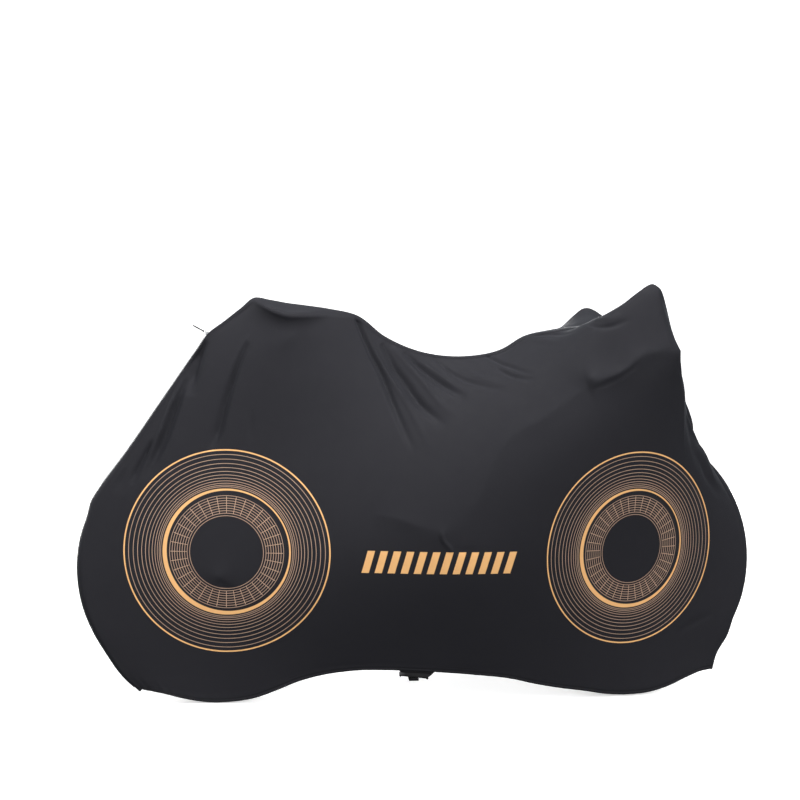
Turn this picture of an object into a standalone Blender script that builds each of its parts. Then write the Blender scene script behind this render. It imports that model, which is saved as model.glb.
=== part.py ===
"""Fitted stretch cover, standing as it is held out from inside: two long side panels sewn along the crest, a closed zip on the rear crest with its slider, ring and pull, and a short strap with a buckle under the middle of the hem.

World frame: origin under the crown, where the cover is held up. +X to the front, +Y to the cover's left, +Z up. Metres.
"""
import math

import bmesh
import bpy
import numpy as np

# ---- driving sizes -----------------------------------------------------------------------------
LOBE_R = 0.345          # radius of the round rear end
LOBE_R_FRONT = 0.342    # radius of the round front end
LOBE_Z = 0.340          # height of their centres over the ground
LOBE_REAR_X = 0.0       # centre of the rear end, in the layout's own x
LOBE_FRONT_X = 0.995    # centre of the front end
FRONT_TURN = math.radians(9.0)   # the front end is turned to the left by this much
CROWN = (0.165, 0.0, 0.9805)     # the point under the crown that becomes the origin
CLOTH_T = 0.0020        # thickness of a panel's solid
SEAM_GAP = 0.0003       # gap between the two panels along the crest
PIECE_GAP = 0.0004      # gap between any other two pieces

FINE_U, FINE_V = 224, 88     # cells of the worked-out surface: along the cover, and from crest to hem
RINGS = 4                    # rows of cells that make the rounded crest
RING_ANGLES = (0.0, 26.0, 50.0, 71.0, 90.0)

# ---- the crest, from the rear end of the hem over the top to the front end of the hem ---------------
# x, z: the seam line. half_width: how far the cloth stands to each side there. drop: how far below the seam.
# flat: 0 where the crest is rounded over, up to 1 where it is a flat facet with an edge. Left out where it is 0.
CREST_REAR_FOOT = (
    # name              x       z      half_width drop   flat
    ("hem_end",        -0.197,  0.035,  0.012,  0.010),
    ("gather_low",     -0.236,  0.072,  0.014,  0.012),
    ("gather_high",    -0.277,  0.131,  0.016,  0.014),
)
CREST_REAR_EDGE = (
    ("shoulder_low",   -0.310,  0.505,  0.018,  0.015),
    ("shoulder",       -0.290,  0.537,  0.017,  0.014),
    ("shoulder_high",  -0.269,  0.566,  0.015,  0.013),
    ("edge_low",       -0.244,  0.599,  0.013,  0.012),
    ("edge_mid",       -0.155,  0.728,  0.009,  0.010),
    ("edge_high",      -0.080,  0.838,  0.007,  0.009),
    ("edge_top",       -0.0545, 0.8748, 0.006,  0.008),
    ("pull_point",     -0.0325, 0.9075, 0.005,  0.007),
    ("sag",             0.0065, 0.9380, 0.007,  0.008),
    ("rise",            0.048,  0.971,  0.012,  0.010),
    ("tail",            0.080,  0.996,  0.026,  0.012,  0.5),
)
CREST_TOP = (
    ("crown_rear",      0.120,  0.991,  0.056,  0.022,  1.0),
    ("crown",           0.160,  0.984,  0.069,  0.031,  1.0),
    ("crown_front",     0.200,  0.979,  0.062,  0.027,  1.0),
    ("neck",            0.265,  0.970,  0.034,  0.019,  0.8),
    ("nose",            0.330,  0.955,  0.017,  0.013,  0.4),
    ("slope",           0.400,  0.9035,  0.009,  0.009),
    ("slope_foot",      0.480,  0.8690,  0.008,  0.008),
    ("dip",             0.600,  0.8565,  0.008,  0.008),
    ("dip_front",       0.684,  0.8725,  0.012,  0.008),
    ("step",            0.745,  0.907,  0.020,  0.007),
    ("shelf",           0.812,  0.922,  0.040,  0.005),
    ("bar",             0.880,  0.931,  0.055,  0.004),
    ("valley",          0.960,  0.930,  0.050,  0.004),
    ("front_top",       1.040,  0.922,  0.045,  0.006),
)
CREST_FRONT_EDGE = (
    ("brow",            1.074,  0.884,  0.040,  0.007),
    ("front_high",      1.110,  0.834,  0.034,  0.009),
    ("front_mid",       1.147,  0.765,  0.026,  0.012),
    ("front_low",       1.177,  0.690,  0.020,  0.014),
)
CREST_FRONT_FOOT = (
    ("foot_high",       1.284,  0.148,  0.016,  0.014),
    ("foot_low",        1.254,  0.098,  0.014,  0.012),
    ("hem_end",         1.244,  0.061,  0.012,  0.010),
)
# angles of the round ends that the cloth follows, in degrees from +X, first and last, and how many rows
REAR_ARC = (208.0, 158.0, 6)
FRONT_ARC = (55.5, -27.0, 9)
ARC_HALF_WIDTH, ARC_DROP = 0.019, 0.016

# ---- the hem: the free lower edge, x and z, and how far it stands from the middle plane ---------------
HEM = (
    # x       z      half_width
    (-0.138,  0.034,  0.024),
    (-0.084,  0.021,  0.029),
    (-0.030,  0.013,  0.032),
    ( 0.030,  0.014,  0.034),
    ( 0.081,  0.022,  0.037),
    ( 0.139,  0.043,  0.042),
    ( 0.189,  0.064,  0.047),
    ( 0.247,  0.080,  0.052),
    ( 0.315,  0.090,  0.058),
    ( 0.431,  0.091,  0.064),
    ( 0.519,  0.086,  0.066),
    ( 0.615,  0.077,  0.064),
    ( 0.710,  0.065,  0.060),
    ( 0.768,  0.051,  0.056),
    ( 0.834,  0.038,  0.051),
    ( 0.898,  0.028,  0.046),
    ( 0.952,  0.018,  0.041),
    ( 1.014,  0.014,  0.037),
    ( 1.072,  0.018,  0.034),
    ( 1.121,  0.030,  0.030),
    ( 1.168,  0.048,  0.025),
    ( 1.209,  0.061,  0.019),
)

# ---- what holds the cloth out: points it bears on, and where on the cloth they bear -----------------------
# u, v: share of the way along the panel and share of the way from crest to hem. side: -1 right, +1 left.
BEARS_ON = (
    # name            side   u      v       x       y       z
    ("bar_inner",      -1,   0.752, 0.085,  0.872, -0.100,  0.938),
    ("bar_corner",     -1,   0.775, 0.150,  0.893, -0.160,  0.948),
    ("horn_ramp",      -1,   0.815, 0.185,  0.945, -0.184,  0.985),
    ("horn_crest",     -1,   0.850, 0.205,  0.992, -0.192,  1.022),
    ("horn_tip",       -1,   0.868, 0.220,  1.016, -0.195,  1.034),
    ("horn_brow",      -1,   0.880, 0.235,  1.033, -0.198,  1.024),
    ("horn_face",      -1,   0.882, 0.268,  1.038, -0.202,  0.992),
    ("spur_mid",       -1,   0.880, 0.320,  1.052, -0.206,  0.930),
    ("spur_tip",       -1,   0.878, 0.370,  1.076, -0.208,  0.873),
    ("corner_high",    -1,   0.880, 0.430,  1.074, -0.188,  0.800),
    ("face_high",      -1,   0.926, 0.397,  1.107, -0.131,  0.774),
    ("face_mid",       -1,   0.944, 0.433,  1.140, -0.088,  0.698),
    ("face_low",       -1,   0.968, 0.458,  1.180, -0.039,  0.624),
    ("bar_end",        -1,   0.745, 0.310,  0.873, -0.208,  0.818),
    ("side_high",      -1,   0.535, 0.545,  0.526, -0.182,  0.438),
    ("side_low",       -1,   0.545, 0.590,  0.551, -0.180,  0.391),
    ("hub_point",      -1,   0.225, 0.620, -0.004, -0.070,  0.336),
    ("flank_rear",     -1,   0.051, 0.069,  0.100, -0.050,  0.930),
    ("flank_high",     -1,   0.120, 0.083,  0.166, -0.069,  0.900),
    ("flank_mid",      -1,   0.176, 0.174,  0.166, -0.074,  0.802),
    ("flank_low",      -1,   0.245, 0.316,  0.163, -0.084,  0.647),
    ("neck_high",      -1,   0.167, 0.069,  0.229, -0.056,  0.903),
    ("neck_mid",       -1,   0.227, 0.165,  0.231, -0.071,  0.795),
    ("bar_inner",      +1,   0.740, 0.100,  0.846,  0.110,  0.922),
    ("bar_corner",     +1,   0.748, 0.170,  0.846,  0.180,  0.903),
    ("horn_ramp",      +1,   0.775, 0.210,  0.886,  0.206,  0.934),
    ("horn_crest",     +1,   0.805, 0.230,  0.920,  0.217,  0.962),
    ("horn_tip",       +1,   0.818, 0.245,  0.934,  0.221,  0.972),
    ("horn_brow",      +1,   0.826, 0.260,  0.944,  0.223,  0.969),
    ("horn_face",      +1,   0.832, 0.290,  0.953,  0.225,  0.942),
    ("spur_mid",       +1,   0.832, 0.340,  0.970,  0.225,  0.876),
    ("spur_tip",       +1,   0.830, 0.390,  0.998,  0.225,  0.815),
    ("bar_end",        +1,   0.700, 0.330,  0.790,  0.222,  0.762),
    ("side_rear",      +1,   0.375, 0.850,  0.262,  0.160,  0.168),
    ("side_front",     +1,   0.420, 0.850,  0.325,  0.162,  0.176),
    ("hub_point",      +1,   0.225, 0.620,  0.000,  0.068,  0.340),
    ("hub_front",      +1,   0.800, 0.640,  0.985,  0.066,  0.340),
    ("flank_rear",     +1,   0.051, 0.069,  0.100,  0.050,  0.930),
    ("flank_high",     +1,   0.116, 0.083,  0.163,  0.069,  0.901),
    ("flank_mid",      +1,   0.176, 0.184,  0.167,  0.072,  0.796),
    ("flank_low",      +1,   0.241, 0.316,  0.168,  0.076,  0.654),
    ("neck_high",      +1,   0.171, 0.076,  0.231,  0.056,  0.896),
    ("neck_mid",       +1,   0.222, 0.165,  0.232,  0.069,  0.800),
)
SPAN_U, SPAN_V = 1.45, 1.05      # the panel's rough length and height, for the size of its cells
BEND_REACH = 0.22                # how far the cloth's own stiffness carries round a point it bears on
NET_STEP = 3                     # the taut shape is solved on every third cell and read between

# ---- the facets of the solids: first and last fine column or row, and how many cells between -------------------
PANEL_COLUMNS = ((0, 4, 2), (4, 52, 12), (52, 148, 16), (148, 220, 16), (220, 224, 2))
PANEL_ROWS = ((0, 4, 2), (4, 88, 20))

# ---- small pieces -------------------------------------------------------------------------------------
ZIP_WIDTH, ZIP_T = 0.0050, 0.0012     # the closed chain
ZIP_FOOT = 0.016                      # its lower end stands this far up the crest from the hem
PULL_POINT = (-0.0325, 0.9075)          # where the slider stands on the rear crest
SLIDER = (
    # along     half_width  height
    (-0.0050,   0.0028,     0.0032),
    (-0.0042,   0.0040,     0.0044),
    ( 0.0034,   0.0040,     0.0044),
    ( 0.0050,   0.0026,     0.0034),
)
EYE_R, EYE_HOLE_R = 0.0029, 0.0016    # the slider's lug and the pull's eye
LUG_T, PULL_T = 0.0016, 0.0030
RING_R, RING_WIRE = 0.0040, 0.0008                  # small ring: radius of its middle line, radius of its wire
PULL_DIRECTION = (-0.88, 0.0, 0.475)
PULL_LENGTH, PULL_HALF = 0.031, 0.0018
TAB = (
    # below_hem  x_rear   x_front
    (0.0004,     0.4330,  0.5200),
    (0.0020,     0.4362,  0.5172),
    (0.0048,     0.4392,  0.5146),
)
TAB_T = 0.0016
BUCKLE = (
    # the buckle's plate, whose upper edge stands behind the tab; top and bottom lie below the hem
    # x        top      bottom   half_depth
    ( 0.4334,  0.0050,  0.0122,  0.0008),
    ( 0.4344,  0.0036,  0.0134,  0.0011),
    ( 0.4975,  0.0032,  0.0166,  0.0011),
    ( 0.5040,  0.0034,  0.0156,  0.0011),
    ( 0.5136,  0.0044,  0.0078,  0.0009),
)
BUCKLE_BAR = ((0.4369, 0.0129), (0.5023, 0.0170))   # the bar's two ends: x, and how far below the hem
BUCKLE_IN = 0.0034                    # how far inside the hem the buckle hangs
BUCKLE_BALL = (
    # along     radius       from the bar's end inward; the last radius is the bar's own
    (-0.0033,   0.0009),
    (-0.0026,   0.0021),
    (-0.0014,   0.0030),
    ( 0.0000,   0.0033),
    ( 0.0014,   0.0030),
    ( 0.0026,   0.0021),
    ( 0.0032,   0.0014),
)
STRAP_X, STRAP_WIDTH, STRAP_T = (0.4698, 0.0240, 0.0015)
STRAP_BELOW = 0.0184                  # the strap's near end, below the hem
STRAP_PATH = (
    # share of the hem's half width, how far below the strap's near end
    (-1.000,  0.0000),
    (-0.998,  0.0034),
    (-0.975,  0.0058),
    (-0.930,  0.0066),
    (-0.860,  0.0060),
    (-0.700,  0.0040),
    (-0.500,  0.0014),
    ( 0.000, -0.0030),
    ( 0.500, -0.0056),
    ( 0.880, -0.0076),
    ( 0.960, -0.0082),
    ( 0.990, -0.0092),
    ( 1.000, -0.0116),
)


def middle(x):
    """the middle plane's y and its slope at x: straight at the rear, turned to the left at the front"""
    t = math.tan(FRONT_TURN)
    d = np.asarray(x, float) - LOBE_FRONT_X
    root = np.sqrt(d * d + 0.12 ** 2)
    return 0.5 * t * (d + root), 0.5 * t * (1.0 + d / root)


def crest_rows():
    """every row of the crest in order, and which of them are the corners tail and front_top"""
    def arc(cx, r, first, last, count):
        turn = math.cos(FRONT_TURN) if cx else 1.0
        out = []
        for i in range(count):
            a = math.radians(first + (last - first) * i / (count - 1))
            out.append(("arc", cx + r * math.cos(a) * turn, LOBE_Z + r * math.sin(a), ARC_HALF_WIDTH, ARC_DROP))
        return out
    rows = [*CREST_REAR_FOOT, *arc(LOBE_REAR_X, LOBE_R, *REAR_ARC), *CREST_REAR_EDGE, *CREST_TOP, *CREST_FRONT_EDGE,
            *arc(LOBE_FRONT_X, LOBE_R_FRONT, *FRONT_ARC), *CREST_FRONT_FOOT]
    names = [r[0] for r in rows]
    rows = np.array([(*r[1:], 0.0)[:5] for r in rows], float)
    return rows, names.index("tail"), names.index("front_top")


def spline(knots, values, at):
    """smooth curve through the values at the knots, read at the given places (cubic Hermite, slopes from neighbours)"""
    knots, values, at = np.asarray(knots, float), np.asarray(values, float), np.asarray(at, float)
    step = np.diff(knots)
    grade = np.diff(values, axis=0) / step[:, None]
    slope = np.empty_like(values)
    slope[1:-1] = (grade[:-1] * step[1:, None] + grade[1:] * step[:-1, None]) / (step[1:] + step[:-1])[:, None]
    slope[0], slope[-1] = grade[0], grade[-1]
    k = np.clip(np.searchsorted(knots, at, side="right") - 1, 0, len(step) - 1)
    h = step[k][:, None]
    t = ((at - knots[k]) / step[k])[:, None]
    a, b, m, n = values[k], values[k + 1], slope[k], slope[k + 1]
    return ((2 * t ** 3 - 3 * t ** 2 + 1) * a + (t ** 3 - 2 * t ** 2 + t) * h * m
            + (3 * t ** 2 - 2 * t ** 3) * b + (t ** 3 - t ** 2) * h * n)


def chord(points):
    return np.concatenate([[0.0], np.cumsum(np.linalg.norm(np.diff(points, axis=0), axis=1))])


def spread_v(count):
    """shares of the way from crest to hem, closer together near the crest"""
    t = np.linspace(0.0, 1.0, count + 1)
    return 0.34 * t + 0.66 * t ** 1.7


def spread_u(t):
    """shares of the way along the crest's top, closer together at its front third"""
    return np.interp(t, (0.0, 0.74, 1.0), (0.0, 0.835, 1.0))


def layout(side):
    """the fixed rows of one panel: the rounded crest on three sides, and the hem. Returns the grid, a mask of fixed
    nodes, and the crest's outward direction at the seam"""
    rows, tail, top = crest_rows()
    knots = chord(rows[:, :2])
    dense = np.linspace(0.0, knots[-1], 1200)
    curve = spline(knots, rows, dense)
    way = chord(curve[:, :2])
    s_tail = np.interp(knots[tail], dense, way)
    s_top = np.interp(knots[top], dense, way)

    def crest(s):
        at = np.interp(s, way, dense)
        here = spline(knots, rows, at)
        ahead = spline(knots, rows, np.clip(at + 0.012, 0, knots[-1]))[:, :2]
        behind = spline(knots, rows, np.clip(at - 0.012, 0, knots[-1]))[:, :2]
        run = ahead - behind
        run /= np.linalg.norm(run, axis=1)[:, None]
        out = np.stack([-run[:, 1], run[:, 0]], -1)      # outward, in the plane of the crest
        return here, out

    n, m = FINE_U, FINE_V
    grid = np.zeros((n + 1, m + 1, 3))
    fixed = np.zeros((n + 1, m + 1), bool)
    outward = np.zeros((n + 1, m + 1, 3))
    v = spread_v(m)

    def put(index, s, k):
        here, out = crest(np.asarray(s, float))
        a = math.radians(RING_ANGLES[k])
        mid, slope = middle(here[:, 0])
        across = np.stack([-slope, np.ones_like(slope), np.zeros_like(slope)], -1)
        across /= np.linalg.norm(across, axis=1)[:, None]
        flat = np.clip(here[:, 4], 0.0, 1.0)
        share = a / (0.5 * math.pi)
        reach = here[:, 2] * (math.sin(a) * (1 - flat) + share * flat) + 0.5 * SEAM_GAP
        down = here[:, 3] * ((1.0 - math.cos(a)) * (1 - flat) + share ** 1.35 * flat)
        inplane = np.stack([out[:, 0], out[:, 0] * slope, out[:, 1]], -1)
        inplane /= np.linalg.norm(inplane, axis=1)[:, None]
        base = np.stack([here[:, 0], mid, here[:, 1]], -1)
        point = base + side * across * reach[:, None] - inplane * down[:, None]
        for (i, j), p, o in zip(index, point, inplane):
            grid[i, j] = p
            fixed[i, j] = True
            outward[i, j] = o

    for k in range(RINGS + 1):
        rest = np.arange(k, m + 1)
        along = np.interp((rest - k) / (m - k), np.linspace(0, 1, m + 1), v)
        put([(k, j) for j in rest], s_tail - s_tail * along, k)
        across_top = np.arange(k, n - k + 1)
        put([(i, k) for i in across_top], s_tail + (s_top - s_tail) * spread_u((across_top - k) / (n - 2 * k)), k)
        put([(n - k, j) for j in rest], s_top + (way[-1] - s_top) * along, k)

    # the hem runs from the inner ring's rear end to its front end
    mid, slope = middle(np.array([r[0] for r in HEM]))
    hem = np.array([(x, y + side * w, z) for (x, z, w), y in zip(HEM, mid)])
    hem = np.vstack([grid[RINGS, m], hem, grid[n - RINGS, m]])
    knots_h = chord(hem)
    dense_h = np.linspace(0, knots_h[-1], 1000)
    line = spline(knots_h, hem, dense_h)
    way_h = chord(line)
    at = np.interp(np.linspace(0, way_h[-1], n - 2 * RINGS + 1), way_h, dense_h)
    grid[RINGS:n - RINGS + 1, m] = spline(knots_h, hem, at)
    fixed[RINGS:n - RINGS + 1, m] = True
    return grid, fixed, outward


def taut(net, v, pins):
    """the smooth taut shape of a net between its fixed edges and the points in pins, {(i, j): point}"""
    a, b = net.shape[0] - 1, net.shape[1] - 1
    number = np.arange((a + 1) * (b + 1)).reshape(a + 1, b + 1)
    hu = SPAN_U / a
    hv = np.diff(v) * SPAN_V
    size = (a + 1) * (b + 1)
    energy = np.zeros((size, size))
    for j in range(1, b):
        low, high = hv[j - 1], hv[j]
        w_low, w_high = 2 / (low * (low + high)), 2 / (high * (low + high))
        weight = np.array([-(2 / hu ** 2 + w_low + w_high), 1 / hu ** 2, 1 / hu ** 2, w_low, w_high])
        share = np.outer(weight, weight) * hu * 0.5 * (low + high)
        for i in range(1, a):
            cross = [number[i, j], number[i - 1, j], number[i + 1, j], number[i, j - 1], number[i, j + 1]]
            energy[np.ix_(cross, cross)] += share
    pull = 1.0 / BEND_REACH ** 2

    def tie(p, q, weight):
        energy[p, p] += weight
        energy[q, q] += weight
        energy[p, q] -= weight
        energy[q, p] -= weight

    for j in range(b + 1):
        high = 0.5 * ((hv[j - 1] if j else 0) + (hv[j] if j < b else 0))
        for i in range(a):
            tie(number[i, j], number[i + 1, j], pull * high / hu)
    for j in range(b):
        for i in range(a + 1):
            wide = hu if 0 < i < a else 0.5 * hu
            tie(number[i, j], number[i, j + 1], pull * wide / hv[j])
    flat = net.reshape(-1, 3).copy()
    known = np.zeros((a + 1, b + 1), bool)
    known[0] = known[-1] = True
    known[:, 0] = known[:, -1] = True
    for (i, j), point in pins.items():
        flat[number[i, j]] = point
        known[i, j] = True
    known = known.ravel()
    free = np.flatnonzero(~known)
    # the equations of the free nodes form a narrow band, which is eliminated row by row
    part_a = energy[np.ix_(free, free)]
    result = -energy[np.ix_(free, np.flatnonzero(known))] @ flat[known]
    band = 2 * (b + 1) + 3
    for k in range(len(free)):
        below = slice(k + 1, k + 1 + band)
        factor = part_a[below, k] / part_a[k, k]
        part_a[below, below] -= np.outer(factor, part_a[k, below])
        result[below] -= np.outer(factor, result[k])
    for k in reversed(range(len(free))):
        below = slice(k + 1, k + 1 + band)
        result[k] = (result[k] - part_a[k, below] @ result[below]) / part_a[k, k]
    flat[free] = result
    return flat.reshape(net.shape)


def stretched(side):
    """the panel's surface as a taut skin between crest and hem over the points it bears on"""
    grid, fixed, outward = layout(side)
    n, m, k = FINE_U, FINE_V, RINGS
    v = spread_v(m)
    skin = grid[k:n - k + 1, k:]
    vv = (v[k:] - v[k]) / (1 - v[k])
    net = skin[::NET_STEP, ::NET_STEP]
    pins = {}
    for name, on, u, down, x, y, z in BEARS_ON:
        if on == side:
            i = int(round(u * (net.shape[0] - 1)))
            j = int(np.argmin(np.abs(v[k::NET_STEP] - down)))
            pins[i, j] = (x, y, z)
    net = taut(net, vv[::NET_STEP], pins)
    across, along = net.shape[1], net.shape[0]
    fine = spline(np.arange(along) * NET_STEP, net.reshape(along, -1), np.arange(skin.shape[0]))
    fine = fine.reshape(-1, across, 3).transpose(1, 0, 2).reshape(across, -1)
    fine = spline(np.arange(across) * NET_STEP, fine, np.arange(skin.shape[1]))
    fine = fine.reshape(skin.shape[1], skin.shape[0], 3).transpose(1, 0, 2)
    skin[1:-1, 1:-1] = fine[1:-1, 1:-1]
    return grid, fixed, outward


# ==== objects ===========================================================================================
def material(name, colour, roughness, metallic=0.0):
    m = bpy.data.materials.new(name)
    m.use_nodes = True
    shader = m.node_tree.nodes["Principled BSDF"]
    shader.inputs["Base Color"].default_value = (*colour, 1.0)
    shader.inputs["Roughness"].default_value = roughness
    shader.inputs["Metallic"].default_value = metallic
    m.diffuse_color = (*colour, 1.0)
    return m


def body(name, points, faces, look, smooth=True):
    """one closed solid from layout points, moved so that the point under the crown is the origin"""
    mesh = bpy.data.meshes.new(name)
    mesh.from_pydata([tuple(np.asarray(p) - CROWN) for p in points], [], [tuple(int(k) for k in f) for f in faces])
    made = bmesh.new()
    made.from_mesh(mesh)
    bmesh.ops.recalc_face_normals(made, faces=made.faces)
    made.to_mesh(mesh)
    made.free()
    for face in mesh.polygons:
        face.use_smooth = smooth
    mesh.materials.append(look)
    thing = bpy.data.objects.new(name, mesh)
    bpy.context.scene.collection.objects.link(thing)
    return thing


def steps(table):
    return sorted({int(round(first + (last - first) * k / cells)) for first, last, cells in table for k in range(cells + 1)})


def both_faces(side):
    """the panel's outer and inner surfaces, node by node"""
    outer, fixed, outward = stretched(side)
    normal = side * np.cross(np.gradient(outer, axis=0), np.gradient(outer, axis=1))
    normal /= np.maximum(np.linalg.norm(normal, axis=-1, keepdims=True), 1e-12)
    for seam in (np.s_[0, :], np.s_[-1, :], np.s_[:, 0]):
        normal[seam] = outward[seam]
    return outer, outer - normal * CLOTH_T


def panel(name, side, look):
    outer, inner = both_faces(side)
    columns, rows = steps(PANEL_COLUMNS), steps(PANEL_ROWS)
    a, b = len(columns), len(rows)
    points = [outer[i, j] for i in columns for j in rows] + [inner[i, j] for i in columns for j in rows]
    faces = []
    for p in range(a - 1):
        for q in range(b - 1):
            one, two, three, four = p * b + q, (p + 1) * b + q, (p + 1) * b + q + 1, p * b + q + 1
            corner = rows[q] < RINGS and (columns[p] < RINGS or columns[p + 1] > FINE_U - RINGS)
            if corner:
                first = columns[p] < RINGS
            else:
                first = (np.linalg.norm(points[one] - points[three]) <= np.linalg.norm(points[two] - points[four]))
            halves = ((one, two, three), (one, three, four)) if first else ((one, two, four), (two, three, four))
            for h in halves:
                faces.append(h)
                faces.append(tuple(k + a * b for k in reversed(h)))
    rim = ([p * b for p in range(a)] + [(a - 1) * b + q for q in range(1, b)]
           + [p * b + b - 1 for p in range(a - 2, -1, -1)] + [q for q in range(b - 2, 0, -1)])
    for k, here in enumerate(rim):
        there = rim[(k + 1) % len(rim)]
        faces.append((here, there, there + a * b))
        faces.append((here, there + a * b, here + a * b))
    return body(name, points, faces, look), outer[np.ix_(columns, rows)]


def swept(name, sections, look, smooth=True):
    """solid through a row of closed sections with equal numbers of points, with flat ends"""
    count = len(sections[0])
    points = [p for section in sections for p in section]
    faces = [tuple(range(count - 1, -1, -1)), tuple((len(sections) - 1) * count + k for k in range(count))]
    for s in range(len(sections) - 1):
        for k in range(count):
            n = (k + 1) % count
            faces.append((s * count + k, s * count + n, (s + 1) * count + n, (s + 1) * count + k))
    return body(name, points, faces, look, smooth)


def rounded(centre, wide, high, half_wide, half_high, corner=0.35, count=3):
    """rounded rectangle round a centre in the plane of two directions"""
    r = min(half_wide, half_high) * 2 * corner
    out = []
    for turn, (sx, sy) in enumerate(((1, 1), (-1, 1), (-1, -1), (1, -1))):
        for k in range(count):
            angle = math.radians(90 * turn + 90 * k / (count - 1))
            out.append(centre + wide * (sx * (half_wide - r) + r * math.cos(angle))
                       + high * (sy * (half_high - r) + r * math.sin(angle)))
    return out


def eyed_plate(name, eye, along, across, thick, outline, look):
    """flat plate with one round hole at eye; outline in (along, across) round the eye, star-shaped from it"""
    through = np.cross(along, across)
    count = len(outline)
    points = []
    for lift in (-0.5 * thick, 0.5 * thick):
        for p, q in outline:
            points.append(eye + along * p + across * q + through * lift)
        for p, q in outline:
            angle = math.atan2(q, p)
            points.append(eye + (along * math.cos(angle) + across * math.sin(angle)) * EYE_HOLE_R + through * lift)
    faces = []
    for k in range(count):
        n = (k + 1) % count
        low, high = 0, 2 * count
        faces.append((low + k, low + n, low + count + n, low + count + k))
        faces.append((high + k, high + count + k, high + count + n, high + n))
        faces.append((low + k, high + k, high + n, low + n))
        faces.append((low + count + k, low + count + n, high + count + n, high + count + k))
    return body(name, points, faces, look, smooth=False)


def fan(centre, radius, first, last, count):
    return [(centre + radius * math.cos(math.radians(first + (last - first) * k / (count - 1))),
             radius * math.sin(math.radians(first + (last - first) * k / (count - 1)))) for k in range(count)]


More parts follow.
